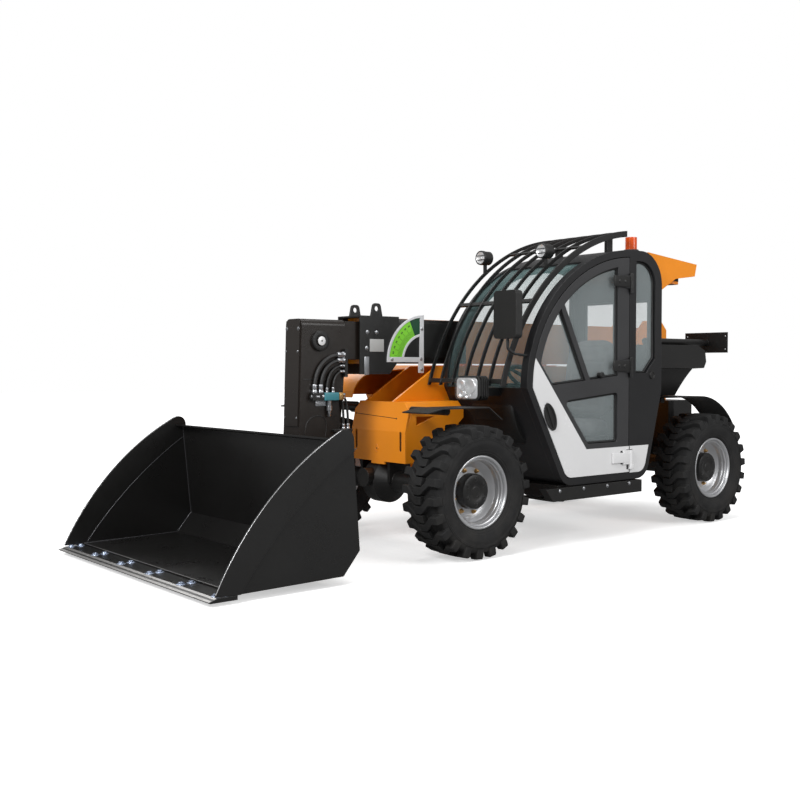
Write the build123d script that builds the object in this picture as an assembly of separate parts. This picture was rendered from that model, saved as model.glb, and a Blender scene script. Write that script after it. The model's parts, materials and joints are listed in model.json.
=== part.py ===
"""A compact telehandler with a loading bucket, as an assembly of named pieces.

Frame: X forward, Y to the operator's left, Z up, millimetres. The pieces are drawn with X counted
from the front axle and Z from the ground, and are moved to the middle of the overall length at the end.
"""
from build123d import *
import os
from math import atan2, cos, degrees, hypot, radians, sin, sqrt

# Fits shared by the whole machine
RUN_FIT = 0.06
SEAT_GAP = 0.3
SLIDE_GAP = 0.4
SIDE_GAP = 6.0
FAR = 4000.0

# Wheels and axles
WHEELBASE = 2430.0
REAR = -WHEELBASE
WHEEL_Y = 747.5
TYRE_OD = 820.0
TYRE_WIDTH = 305.0
SIDEWALL_R = 312.0
CARCASS_R = 374.0
CARCASS_WIDTH = 280.0
LUG_COUNT = 18
LUG_WIDTH = 34.0
LUG_CROSS = 12.0
LUG_BEND = 66.0
LUG_EDGE = 1.5
RIM_FLANGE_OD = 450.0
RIM_WIDTH = 250.0
RIM_SEAT_R = 205.0
RIM_WALL = 13.0
RIM_LIP = 10.0
RIM_STEP = 5.0
DISC_R = 152.0
DISC_OUT = 14.0
DISC_T = 14.0
DISH_RISE = 32.0
HUB_R = 110.0
HUB_REACH = 78.0
HUB_BEVEL = 12.0
HUB_NECK_R = 118.0
HUB_BACK = 62.0
SPINDLE_R = 55.0
SPINDLE_GRIP = 52.0
KINGPIN_Y = 600.0
KINGPIN_R = 24.0
KNUCKLE_R = 46.0
KNUCKLE_HALF = 60.0
YOKE_T = 30.0
YOKE_HALF_GAP = 95.0
YOKE_HALF = 45.0
YOKE_BACK = 75.0
YOKE_WEB = 40.0
AXLE_TUBE_R = 68.0
DIFF_R = 148.0
DIFF_HALF = 130.0
DIFF_FLAT = 60.0
SNOUT_R = 62.0
SNOUT_LENGTH = 130.0
AXLE_PAD_HALF = 90.0
AXLE_PAD_TOP = 575.0

# The lug's flat top lies at the radius whose corners reach the tyre's full size, and the axle stands
# on the two lowest corners
TYRE_SIDES = 2 * LUG_COUNT
LUG_SPAN = 2 * (CARCASS_R * sin(radians(180 / TYRE_SIDES)) - LUG_EDGE)
LUG_END = CARCASS_WIDTH / 2 - LUG_EDGE
LUG_TOP = sqrt((TYRE_OD / 2) ** 2 - (LUG_SPAN / 2) ** 2)
LUG_HALF_ANGLE = degrees(atan2(LUG_SPAN / 2, LUG_TOP))
AXLE_Z = TYRE_OD / 2 * cos(radians(180 / TYRE_SIDES - LUG_HALF_ANGLE))

# Frame plates and belly
FRAME_LEFT = 95.0
FRAME_RIGHT = -215.0
FRAME_T = 20.0
FRAME_BOTTOM = 395.0
FRAME_DECK = 1178.0
FRAME_DECK_FRONT = -330.0
FRAME_SLOPE = 540.0
ARCH_NEAR = 230.0
ARCH_FAR = 330.0
BEAM = 80.0
BEAM_FRONT = -760.0
BEAM_REAR = -1440.0
BEAM_OUT = 860.0
BELLY_FRONT = -700.0
BELLY_REAR = -1900.0
BELLY_T = 16.0
SILL_OUT = 905.0
SILL_DEPTH = 62.0
SILL_TOP = 388.0
SILL_BOTTOM = 303.0
SILL_FRONT = -545.0
SILL_REAR = -1525.0
SILL_RAKE = 70.0
TRAY_OUT = 870.0
TRAY_Z = 500.0
TRAY_T = 20.0

# Front plate
NOSE_HALF = 285.0
NOSE_FRONT = 112.0
NOSE_TOP = 944.0
NOSE_BOTTOM = 548.0
NOSE_BEND_Z = 752.0
NOSE_LEAN = 40.0
NOSE_BACK = -400.0
NOSE_T = 15.0
NOSE_CHAMFER = 55.0
NOSE_SLOT_Y = 235.0
NOSE_SLOT_W = 22.0
NOSE_SLOT_H = 130.0
NOSE_TAB_HALF = 70.0
NOSE_TAB_DROP = 18.0

# Rear block, towing jaw and boom tower, counted back from the rear axle
PIVOT_BACK = 350.0
TOWER_BACK = 475.0
TOWER_CHAMFER = 70.0
TOWER_AHEAD = 170.0
TOWER_TOP = 1552.0
REAR_BLOCK_NEAR = 230.0
REAR_BLOCK_FAR = 535.0
REAR_BLOCK_HALF = 330.0
REAR_BLOCK_TOP = 900.0
REAR_BLOCK_BOTTOM = 440.0
REAR_BLOCK_R = 30.0
HITCH_REACH = 105.0
HITCH_HALF = 65.0
HITCH_T = 22.0
HITCH_LOW = 470.0
HITCH_GAP = 70.0
HITCH_PIN_R = 16.0
REAR_BLOCK_FRONT = REAR - REAR_BLOCK_NEAR
REAR_BLOCK_BACK = REAR - REAR_BLOCK_FAR
HITCH_BACK = REAR_BLOCK_BACK - HITCH_REACH
TOWER_REAR = REAR - TOWER_BACK

# Boom
BOOM_Y = -60.0
PIVOT_X = REAR - PIVOT_BACK
PIVOT_Z = 1345.0
PIVOT_PIN_R = 40.0
OUTER_W = 220.0
OUTER_H = 300.0
OUTER_WALL = 8.0
OUTER_FRONT = 232.0
OUTER_SOLID = 220.0
INNER_W = 180.0
INNER_H = 246.0
INNER_WALL = 8.0
INNER_TAIL = 280.0
PAD_LENGTH = 160.0
COLLAR_T = 12.0
COLLAR_FRONT = 305.0
COLLAR_BACK = -20.0
COLLAR_LOW = 1125.0
COLLAR_CUT = 1215.0
SIDE_PLATE_BACK = -450.0
SIDE_PLATE_LOW = 1235.0
EAR_X = 168.0
EAR_RISE = 60.0
EAR_TOP = 95.0
EAR_FOOT = 50.0
EAR_HEAD = 30.0
EAR_HOLE_R = 17.0
QUADRANT_R = 318.0
QUADRANT_X = -232.0
QUADRANT_Z = 1205.0
QUADRANT_RIM = 16.0
QUADRANT_BAND = 125.0
QUADRANT_BAR = 34.0
QUADRANT_T = 8.0
QUADRANT_FOOT = 72.0
QUADRANT_FOOT_W = 44.0

# Drop head and carriage at the boom's end
HEAD_BACK = 402.0
HEAD_FRONT = 735.0
HEAD_TOP = 1476.0
HEAD_SKIN = 15.0
HEAD_EDGE_R = 40.0
HEAD_KNEE_X = 757.0
HEAD_KNEE_Z = 780.0
HEAD_SHIN_Z = 600.0
HEAD_OPEN_Z = 640.0
COVER_T = 8.0
COVER_EDGE = 14.0
COVER_LOW = 800.0
BOSS_X = 604.0
BOSS_Z = 1337.0
BOSS_R = 62.0
BOSS_OUT = 16.0
BOSS_CAP_R = 30.0
BOSS_CAP_OUT = 12.0
CARRIAGE_X = 850.0
CARRIAGE_Z = 300.0
CARRIAGE_PIN_R = 25.0
CARRIAGE_TUBE_R = 42.0
CARRIAGE_BOSS_R = 62.0
CARRIAGE_BACK = 926.0
CARRIAGE_FRONT = 980.0
CARRIAGE_LOW = 150.0
CARRIAGE_HIGH = 520.0
CARRIAGE_HALF = 245.0
CARRIAGE_POST = 60.0
CARRIAGE_RAIL = 80.0
CHEEK_T = 18.0
TILT_LUG_R = 200.0
TILT_LUG_ANGLE = 230.0
TILT_BASE_X = 620.0
TILT_BASE_Z = 1180.0

# Cylinders
LIFT_EYE_OUT = 1450.0
LIFT_EYE_Z = 1125.0
LIFT_BASE_AHEAD = 130.0
LIFT_BASE_Z = 605.0
LIFT_BARREL_R = 62.0
LIFT_ROD_R = 36.0
LIFT_HEAD_SHARE = 0.89
TILT_BARREL_R = 44.0
TILT_ROD_R = 24.0
TILT_HEAD_SHARE = 0.64
TILT_CLOSING = 304.0
STROKE_SPARE = 12.0
PIN_SHARE = 0.4
EYE_SHARE = 1.35
EYE_T = 60.0
EAR_PLATE = 18.0
LIFT_EYE_X = PIVOT_X + LIFT_EYE_OUT
LIFT_BASE_X = REAR + LIFT_BASE_AHEAD

# Hoses and coupler on the head
HOSE_R = 13.0
THIN_HOSE_R = 8.0
HOSE_STAND = 16.0
HOSE_SIDES = 8
HOSE_TOP = 1252.0
HOSE_STEP = 36.0
CLAMP_W = 22.0
BRACKET_Z = 775.0
COUPLER_X = 565.0
COUPLER_Z = 986.0
COUPLER_LENGTH = 230.0
COUPLER_HEIGHT = 46.0
COUPLER_DEPTH = 40.0

# Bucket
BUCKET_HALF = 956.5
BUCKET_T = 10.0
SIDE_T = 16.0
LIP_X = 1915.0
LIP_Z = 20.0
FLOOR_Z = 42.0
FLOOR_RISE = 8.0
FLOOR_BACK = 1093.0
HEEL_X = 984.0
HEEL_Z = 178.0
BACK_TOP_X = 1040.0
BACK_TOP_Z = 770.0
SPILL_LENGTH = 62.0
SPILL_RISE = 18.0
SIDE_TOP_Z = 836.0
SIDE_TOP_X = 1110.0
SIDE_BULGE_X = 1560.0
SIDE_BULGE_Z = 500.0
BAND_T = 8.0
EDGE_LENGTH = 165.0
EDGE_TIP = 52.0
RIB_HALF = 25.0

# Cab, its rear counted forward from the rear axle
CAB_LEFT = 885.0
CAB_RIGHT = 105.0
CAB_SIDE_T = 58.0
CAB_WALL_T = 30.0
CAB_FRONT = -386.0
CAB_REAR_AHEAD = 664.0
WAIST_Z = 1040.0
ROOF_Z = 1980.0
ROOF_FLAT = 286.0
REAR_CORNER_R = 232.0
REAR_KNEE_Z = 1000.0
REAR_FOOT_IN = 166.0
FRONT_FOOT_IN = 349.0
FOOT_R = 130.0
CAB_BOTTOM = 395.0
FRAME_TUBE = 46.0
CAB_REAR = REAR + CAB_REAR_AHEAD
ROOF_X = CAB_REAR + ROOF_FLAT
HINGE_X = CAB_REAR + 361.0
PILLAR_W = 70.0
SCREEN_TOP = 0.46
REAR_SPLIT = 0.7
GLASS_T = 6.0
GLASS_SET = 12.0
WINDOW_R = 26.0
QUARTER_CUT = 105.0

# Door
DOOR_GAP = 6.0
DOOR_T = 46.0
DOOR_RAIL = 58.0
DOOR_REAR_RAIL = 125.0
BELT_FRONT_Z = 1052.0
BELT_RISE = 0.09
BELT_DEPTH = 112.0
LOWER_SILL_Z = 660.0
PALE_TOP_Z = 626.0
DIAGONAL_X = -453.0
DIAGONAL_Z = 1238.0
DIAGONAL_LEAN = 0.817
DIAGONAL_RAIL = 48.0
PANE_BAR = 46.0
BAR_TOP_X = -705.0
BAR_TOP_Z = 1550.0
BAR_LEAN = 0.52
SKIN_T = 5.0
HANDLE_X = -593.0
HANDLE_Z = 853.0
HANDLE_LONG = 94.0
HANDLE_WIDE = 48.0
HANDLE_TURN = 65.5
HANDLE_T = 9.0
HANDLE_RIM = 12.0
HINGE_PIN_OUT = 14.0
HINGE_PIN_R = 7.0
HINGE_R = 13.0
HINGE_HALF = 47.0
HINGE_LUG = 30.0
HINGE_STRAP = 190.0
HINGE_LOW = 550.0
HINGE_MID = 1180.0
HINGE_HIGH = 1757.0

# Seat and controls
SEAT_Y = 500.0
SEAT_AHEAD = 330.0
SEAT_HALF = 245.0
SEAT_LENGTH = 470.0
SEAT_TOP = 805.0
SEAT_PAD = 115.0
SEAT_BACK_T = 105.0
SEAT_BACK_H = 580.0
SEAT_LEAN = 8.0
SEAT_BEVEL = 26.0
WHEEL_RING_R = 178.0
WHEEL_RING_T = 26.0
WHEEL_RING_SIDES = 24
COLUMN_R = 32.0

# Guard over the windscreen
GUARD_FOOT_AHEAD = 148.0
GUARD_FOOT_UP = 12.0
GUARD_END_UP = 144.0
GUARD_SAG = 0.155
GUARD_DEPTH = 24.0
GUARD_EDGE_DEPTH = 42.0
GUARD_BARS = 7
GUARD_BAR_T = 10.0
GUARD_RIGHT = 100.0
GUARD_LEFT = 800.0
GUARD_TIE = 14.0

# Lamps, mirror, beacon and roof pod
LAMP_R = 48.0
LAMP_DEPTH = 68.0
LAMP_RISE = 96.0
LAMP_SHARE = 0.56
HEAD_LAMP_X = -184.0
HEAD_LAMP_Y = 600.0
HEAD_LAMP_Z = 1038.0
HEAD_LAMP_W = 205.0
HEAD_LAMP_H = 145.0
HEAD_LAMP_DEPTH = 88.0
LAMP_BEVEL = 26.0
MIRROR_X = -264.0
MIRROR_Y = 834.0
MIRROR_Z = 1500.0
MIRROR_W = 196.0
MIRROR_H = 300.0
MIRROR_T = 56.0
MIRROR_ARM_R = 9.0
BEACON_Y = 700.0
BEACON_R = 52.0
BEACON_H = 120.0
POD_LEFT = 800.0
POD_RIGHT = 190.0
POD_LENGTH = 540.0
POD_DOME_R = 72.0

# Engine bay
HOOD_OUT = -885.0
HOOD_TOP = 1185.0
HOOD_NOSE = 168.0
HOOD_NOSE_LOW = 966.0
HOOD_BOTTOM = 512.0
HOOD_BACK_AHEAD = 545.0
HOOD_T = 8.0
HOOD_FRONT_FOOT = -600.0
HOOD_SLOTS = 7
HOOD_SLOT_W = 34.0
HOOD_SLOT_H = 190.0
HOOD_SLOT_STEP = 80.0
HOOD_HINGE_OUT = 13.0
HOOD_HINGE_UP = 12.0
HOOD_PIN_R = 6.0
HOOD_KNUCKLE_R = 13.0
HOOD_LUG_R = 10.0
HOOD_KNUCKLE = 60.0
HOOD_LUG = 15.0
ENGINE_LENGTH = 800.0
ENGINE_IN = 330.0
ENGINE_OUT = 820.0
ENGINE_H = 420.0
ENGINE_HEAD_H = 120.0
ENGINE_HEAD_IN = 60.0
ENGINE_BEHIND = 125.0
HOOD_BACK = REAR + HOOD_BACK_AHEAD

# Tank, rear plate and fenders
TANK_OUT = 800.0
TANK_LOW_OUT = 620.0
TANK_TOP = 1336.0
TANK_LOW = 956.0
TANK_LIP_Z = 1165.0
TANK_BEHIND = 10.0
PLATE_BEHIND = 180.0
PLATE_T = 8.0
PLATE_Y = 680.0
PLATE_Z = 1361.5
PLATE_W = 380.0
PLATE_H = 157.0
PLATE_HOLE_W = 340.0
PLATE_HOLE_H = 100.0
PLATE_HOLE_R = 5.0
PLATE_TUBE_R = 25.0
FENDER_T = 8.0
FENDER_R = 533.0
FENDER_AHEAD = 420.0
FENDER_IN = 500.0
FENDER_OUT = 760.0
FENDER_TUBE_R = 23.0
FRONT_FENDER_IN = 560.0
FRONT_FENDER_OUT = 790.0
FRONT_FENDER_Z = 917.0

# Overall
X_MID = (LIP_X + HITCH_BACK) / 2
NODES = {}


def keep(name, shape):
    """Names one finished piece."""
    NODES[name] = shape


def slab(sketch, y0, y1):
    """A side-view outline (x, z) given thickness from y0 to y1."""
    return Pos(0, max(y0, y1), 0) * Rot(90, 0, 0) * extrude(sketch, abs(y1 - y0))


def run(sketch, x0, x1):
    """A front-view outline (y, z) carried along X from x0 to x1."""
    return Pos(min(x0, x1), 0, 0) * (Plane.YZ * extrude(sketch, abs(x1 - x0)))


def block(x0, x1, y0, y1, z0, z1):
    """A box between two corners."""
    size = Box(abs(x1 - x0), abs(y1 - y0), abs(z1 - z0))
    return Pos((x0 + x1) / 2, (y0 + y1) / 2, (z0 + z1) / 2) * size


def poly(*points):
    """A closed straight-sided outline."""
    return make_face(Polyline(*points, close=True))


def half_plane(x0, x1, z0, z1):
    """A rectangle in side view, for cutting outlines."""
    return Pos((x0 + x1) / 2, (z0 + z1) / 2) * Rectangle(abs(x1 - x0), abs(z1 - z0))


def rod_x(y, z, r, x0, x1):
    """A round bar along X."""
    return Pos((x0 + x1) / 2, y, z) * Rot(0, 90, 0) * Cylinder(r, abs(x1 - x0))


def rod_y(x, z, r, y0, y1):
    """A round bar along Y."""
    return Pos(x, (y0 + y1) / 2, z) * Rot(90, 0, 0) * Cylinder(r, abs(y1 - y0))


def rod_z(x, y, r, z0, z1):
    """A round bar along Z."""
    return Pos(x, y, (z0 + z1) / 2) * Cylinder(r, abs(z1 - z0))


def tube_path(r, bend, *points):
    """A many-sided tube along straight runs with rounded bends."""
    path = FilletPolyline(*points, radius=bend)
    return sweep((path ^ 0) * RegularPolygon(r, HOSE_SIDES), path)


def mirrored(shape):
    """The same piece on the other side of the machine."""
    return mirror(shape, Plane.XZ)


# Wheels

def flat_ring(profile, sides):
    """A many-sided ring about Z: flat faces between the corners of a closed (height, radius) profile."""
    def corner(place, turn):
        h, r = profile[place % len(profile)]
        a = radians(360 / sides * (turn % sides))
        return Vector(r * cos(a), r * sin(a), h)
    faces = []
    for i in range(len(profile)):
        for k in range(sides):
            corners = corner(i, k), corner(i + 1, k), corner(i + 1, k + 1), corner(i, k + 1)
            faces.append(Face(Wire.make_polygon(corners)))
    return Solid(Shell(faces))


def lug():
    """One tread lug, from the middle of the tread out to the shoulder, standing on the +X side."""
    half, foot = LUG_SPAN / 2, CARCASS_R * cos(radians(180 / TYRE_SIDES))
    outline = poly((-half, -LUG_CROSS), (LUG_WIDTH - half, -LUG_CROSS), (half, LUG_BEND - LUG_CROSS),
                   (half, LUG_END), (half - LUG_WIDTH, LUG_END), (half - LUG_WIDTH, LUG_BEND))
    stand = Plane(origin=(foot, 0, 0), x_dir=(0, 1, 0), z_dir=(1, 0, 0))
    return extrude(stand * outline, LUG_TOP - foot)


def tyre():
    """Tyre with slanted lugs: a many-sided carcass between the rim's flanges, one lug fused to each flat."""
    bead = RIM_WIDTH / 2 - RIM_LIP - SEAT_GAP
    half, tread = TYRE_WIDTH / 2, CARCASS_WIDTH / 2
    flat = 360 / TYRE_SIDES
    bore = (RIM_SEAT_R + SEAT_GAP) / cos(radians(flat / 2))
    side = [(bead, bore), (bead, RIM_FLANGE_OD / 2 + 3), (half, SIDEWALL_R), (tread, CARCASS_R)]
    shape = flat_ring(side + [(-h, r) for h, r in side[::-1]], TYRE_SIDES)
    top = lug()
    low = mirror(top, Plane.XY)
    rows = [top, low] * LUG_COUNT
    lugs = [Rot(0, 0, (i + 0.5) * flat) * row for i, row in enumerate(rows)]
    return Rot(90, 0, 0) * Rot(0, 0, 90) * (shape + lugs)


def wheel():
    """Rim, dished disc and planetary hub in one turned piece, outer face towards +Y."""
    w, flange = RIM_WIDTH / 2, RIM_FLANGE_OD / 2
    well = RIM_SEAT_R - RIM_WALL
    disc_in = DISC_OUT - DISC_T
    bore, bore_end = SPINDLE_R + RUN_FIT, disc_in - HUB_BACK + SPINDLE_GRIP
    front = [(0, HUB_REACH), (HUB_R - HUB_BEVEL, HUB_REACH), (HUB_R, HUB_REACH - HUB_BEVEL),
             (HUB_R, DISC_OUT), (DISC_R, DISC_OUT), (well, DISC_OUT + DISH_RISE), (well, w - 3 * RIM_LIP),
             (well + RIM_STEP, w - 2 * RIM_LIP), (well + RIM_STEP, w - RIM_LIP), (flange - RIM_LIP, w),
             (flange, w)]
    seat = [(flange, w - RIM_LIP), (RIM_SEAT_R, w - RIM_LIP), (RIM_SEAT_R, RIM_LIP - w),
            (flange, RIM_LIP - w), (flange, -w), (well, -w)]
    back = [(well, disc_in + DISH_RISE), (DISC_R, disc_in), (HUB_NECK_R, disc_in),
            (HUB_NECK_R, disc_in - HUB_BACK), (bore, disc_in - HUB_BACK), (bore, bore_end), (0, bore_end)]
    return revolve(poly(*front, *seat, *back), Axis.Y)


def knuckle():
    """Steering knuckle on its kingpin, with the spindle that carries the hub towards +Y."""
    half = YOKE_HALF_GAP - SLIDE_GAP
    hub_in = WHEEL_Y + DISC_OUT - DISC_T - HUB_BACK
    arm_end = hub_in - SIDE_GAP
    body = rod_z(0, KINGPIN_Y, KNUCKLE_R, AXLE_Z - half, AXLE_Z + half)
    arm = block(-KNUCKLE_R, KNUCKLE_R, KINGPIN_Y, arm_end, AXLE_Z - KNUCKLE_HALF, AXLE_Z + KNUCKLE_HALF)
    pin = rod_z(0, KINGPIN_Y, KINGPIN_R, AXLE_Z - half - YOKE_T, AXLE_Z + half + YOKE_T)
    spindle = rod_y(0, AXLE_Z, SPINDLE_R, arm_end - 1, hub_in + SPINDLE_GRIP - SLIDE_GAP)
    return body + arm + pin + spindle


def yoke_arm(side):
    """One yoke arm in plan, with a bevelled end round the kingpin."""
    inner, end, bevel = KINGPIN_Y - YOKE_BACK - 5, KINGPIN_Y + YOKE_HALF, YOKE_HALF / 2
    points = [(-YOKE_HALF, inner), (YOKE_HALF, inner), (YOKE_HALF, end - bevel), (bevel, end), (-bevel, end),
              (-YOKE_HALF, end - bevel)]
    return poly(*[(x, side * y) for x, y in points])


def axle():
    """Axle beam with differential, end yokes for the kingpins and the pads that bolt to the frame."""
    reach = KINGPIN_Y - YOKE_BACK
    collar = AXLE_TUBE_R + SIDE_GAP
    beam = rod_y(0, AXLE_Z, AXLE_TUBE_R, -reach, reach)
    diff = revolve(poly((0, -DIFF_HALF), (collar, -DIFF_HALF), (DIFF_R, -DIFF_FLAT), (DIFF_R, DIFF_FLAT),
                        (collar, DIFF_HALF), (0, DIFF_HALF)), Axis.Y)
    shape = beam + Pos(0, BOOM_Y, AXLE_Z) * diff
    shape += rod_x(BOOM_Y, AXLE_Z + DIFF_FLAT / 2, SNOUT_R, DIFF_FLAT, DIFF_FLAT + SNOUT_LENGTH)
    for y in (FRAME_LEFT - FRAME_T, FRAME_RIGHT):
        shape += block(-AXLE_PAD_HALF, AXLE_PAD_HALF, y, y + FRAME_T, AXLE_Z, AXLE_PAD_TOP)
    web = YOKE_HALF_GAP + YOKE_T
    for side in (-1, 1):
        shape += block(-AXLE_TUBE_R, AXLE_TUBE_R, side * (reach - YOKE_WEB), side * reach, AXLE_Z - web,
                       AXLE_Z + web)
        arm = extrude(yoke_arm(side), YOKE_T)
        hole = rod_z(0, side * KINGPIN_Y, KINGPIN_R + RUN_FIT, -1, YOKE_T + 1)
        for z in (AXLE_Z + YOKE_HALF_GAP, AXLE_Z - web):
            shape += Pos(0, 0, z) * (arm - hole)
    return shape


def running_gear():
    """Axles, knuckles, wheels and tyres at the four corners."""
    corners = {"front_left": (0, 1), "front_right": (0, -1), "rear_left": (REAR, 1), "rear_right": (REAR, -1)}
    keep("front_axle", axle())
    keep("rear_axle", Pos(REAR, 0, 0) * axle())
    hub = Pos(0, WHEEL_Y, AXLE_Z)
    parts = {"tyre": hub * tyre(), "wheel": hub * wheel(), "knuckle": knuckle()}
    for name, (x, side) in corners.items():
        for kind, shape in parts.items():
            keep(f"{kind}_{name}", Pos(x, 0, 0) * (shape if side > 0 else mirrored(shape)))


# Chassis

def frame_side(y):
    """One long side plate of the frame, rising to the boom pivot at the rear."""
    nose = NOSE_FRONT - NOSE_T - NOSE_LEAN
    outline = poly((nose, NOSE_TOP - 2), (nose, AXLE_PAD_TOP), (-ARCH_NEAR, AXLE_PAD_TOP),
                   (-ARCH_FAR, FRAME_BOTTOM), (REAR + ARCH_FAR, FRAME_BOTTOM),
                   (REAR + ARCH_NEAR, AXLE_PAD_TOP), (REAR_BLOCK_FRONT, AXLE_PAD_TOP),
                   (REAR_BLOCK_FRONT, REAR_BLOCK_TOP), (TOWER_REAR, REAR_BLOCK_TOP),
                   (TOWER_REAR, TOWER_TOP - TOWER_CHAMFER), (TOWER_REAR + TOWER_CHAMFER, TOWER_TOP),
                   (PIVOT_X + TOWER_AHEAD, TOWER_TOP), (PIVOT_X + FRAME_SLOPE, FRAME_DECK),
                   (FRAME_DECK_FRONT, FRAME_DECK))
    plate = slab(outline, y, y + FRAME_T)
    return plate - rod_y(PIVOT_X, PIVOT_Z, PIVOT_PIN_R + RUN_FIT, y - 1, y + FRAME_T + 1)


def frame_sides():
    """Both side plates, joined by the lift cylinder's base pin, with the lugs that carry the hood."""
    shape = frame_side(FRAME_LEFT - FRAME_T) + frame_side(FRAME_RIGHT)
    shape += rod_y(LIFT_BASE_X, LIFT_BASE_Z, LIFT_BARREL_R * PIN_SHARE, FRAME_RIGHT + 1, FRAME_LEFT - 1)
    for x in hood_hinges():
        shape += hood_hinge(x)[0]
    return shape


def frame_belly():
    """Cross beams under the side plates, the cab's sill on the left and the engine tray on the right."""
    z0, z1 = FRAME_BOTTOM - BEAM, FRAME_BOTTOM
    sill_in = SILL_OUT - SILL_DEPTH
    shape = block(BELLY_REAR, BELLY_FRONT, FRAME_LEFT - FRAME_T, FRAME_RIGHT + FRAME_T, z0, z0 + BELLY_T)
    shape += block(HOOD_BACK + 2 * HOOD_T, BELLY_FRONT, -TRAY_OUT, FRAME_RIGHT, TRAY_Z, TRAY_Z + TRAY_T)
    for x in (BEAM_FRONT, BEAM_REAR):
        x0, x1 = x - BEAM / 2, x + BEAM / 2
        shape += block(x0, x1, -BEAM_OUT, sill_in + 2, z0, z1)
        shape += block(x0, x1, -BEAM_OUT, FRAME_RIGHT - 2, z1 - 1, TRAY_Z + 1)
    sill = poly((SILL_FRONT, SILL_TOP), (SILL_FRONT - SILL_RAKE, SILL_BOTTOM), (SILL_REAR, SILL_BOTTOM),
                (SILL_REAR, SILL_TOP))
    shape += slab(sill, sill_in, SILL_OUT)
    skirt = poly((sill_in + 1, SILL_TOP), (sill_in + 1, SILL_BOTTOM), (FRAME_LEFT, z0),
                 (FRAME_LEFT, z0 + BELLY_T), (sill_in - BELLY_T, SILL_BOTTOM + BELLY_T),
                 (sill_in - BELLY_T, SILL_TOP))
    return shape + run(skirt, SILL_FRONT - SILL_RAKE - BELLY_T, SILL_FRONT - SILL_RAKE)


def front_nose():
    """Folded front plate with its two side plates and top flanges, closing the frame above the front axle."""
    x, lean, t = NOSE_FRONT, NOSE_LEAN, NOSE_T
    fold = poly((x, NOSE_BOTTOM), (x, NOSE_BEND_Z), (x - lean, NOSE_TOP), (x - lean - t, NOSE_TOP),
                (x - t, NOSE_BEND_Z), (x - t, NOSE_BOTTOM))
    half, cut = NOSE_HALF, NOSE_CHAMFER
    front = poly((-half, NOSE_BOTTOM), (-NOSE_TAB_HALF, NOSE_BOTTOM),
                 (-NOSE_TAB_HALF, NOSE_BOTTOM - NOSE_TAB_DROP),
                 (NOSE_TAB_HALF, NOSE_BOTTOM - NOSE_TAB_DROP), (NOSE_TAB_HALF, NOSE_BOTTOM),
                 (half, NOSE_BOTTOM), (half, NOSE_TOP - cut), (half - cut, NOSE_TOP),
                 (cut - half, NOSE_TOP), (-half, NOSE_TOP - cut))
    tab = half_plane(x - t, x, NOSE_BOTTOM - NOSE_TAB_DROP, NOSE_BOTTOM + 1)
    shape = slab(fold + tab, -half, half) & run(front, x - 4 * lean, x + 1)
    slot_z = NOSE_BEND_Z - NOSE_SLOT_H / 2
    for side in (-1, 1):
        slot = Pos(side * NOSE_SLOT_Y, slot_z) * Rot(0, 0, 90) * SlotOverall(NOSE_SLOT_H, NOSE_SLOT_W)
        shape -= run(slot, x - 2 * t, x + 1)
    back = x - lean - t
    side_face = poly((x - t, NOSE_BOTTOM), (x - t, NOSE_BEND_Z), (back, NOSE_TOP - cut),
                     (NOSE_BACK, NOSE_TOP - cut), (NOSE_BACK, NOSE_TOP - 2 * cut),
                     (-AXLE_PAD_HALF - lean, NOSE_BOTTOM + cut), (-AXLE_PAD_HALF + lean, NOSE_BOTTOM))
    recess = poly((back - lean, NOSE_BEND_Z + lean), (back - lean, NOSE_TOP - cut - lean),
                  (back - 5 * lean, NOSE_TOP - cut - lean))
    for inner, outer in ((FRAME_LEFT, half), (FRAME_RIGHT, -half)):
        skin = outer - t if outer > 0 else outer + t
        shape += slab(side_face - recess, skin, outer)
        flange = poly((inner, NOSE_TOP - t), (inner, NOSE_TOP), (outer - (outer - inner) * 0.3, NOSE_TOP),
                      (outer, NOSE_TOP - cut), (skin, NOSE_TOP - cut - t),
                      (outer - (outer - inner) * 0.3, NOSE_TOP - t))
        shape += run(flange, NOSE_BACK, back + 2)
    return shape


def rear_frame():
    """Rear counterweight between the plates with the towing jaw behind it."""
    shape = block(REAR_BLOCK_BACK, REAR_BLOCK_FRONT, -REAR_BLOCK_HALF, REAR_BLOCK_HALF, REAR_BLOCK_BOTTOM,
                  REAR_BLOCK_TOP)
    shape = chamfer(shape.edges().filter_by(Axis.Z), REAR_BLOCK_R)
    pin_x = HITCH_BACK + HITCH_HALF
    for z in (HITCH_LOW, HITCH_LOW + HITCH_T + HITCH_GAP):
        jaw = block(pin_x, REAR_BLOCK_BACK + 2, -HITCH_HALF, HITCH_HALF, z, z + HITCH_T)
        jaw += rod_z(pin_x, 0, HITCH_HALF, z, z + HITCH_T)
        shape += jaw - rod_z(pin_x, 0, HITCH_PIN_R, z - 1, z + HITCH_T + 1)
    return shape


def engine():
    """The engine as one plain mass on its tray."""
    z0 = TRAY_Z + TRAY_T
    x0 = HOOD_BACK + ENGINE_BEHIND
    x1 = x0 + ENGINE_LENGTH
    inset = ENGINE_HEAD_IN
    core = block(x0, x1, -ENGINE_OUT, -ENGINE_IN, z0, z0 + ENGINE_H)
    top = z0 + ENGINE_H
    return core + block(x0 + inset, x1 - inset, 2 * inset - ENGINE_OUT, -2 * inset - ENGINE_IN, top - 1,
                        top + ENGINE_HEAD_H)


def hood_hinges():
    """Where the two hood hinges stand along the frame plate."""
    length = FRAME_DECK_FRONT - HOOD_BACK
    return FRAME_DECK_FRONT - 0.36 * length, HOOD_BACK + 0.12 * length


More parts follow.
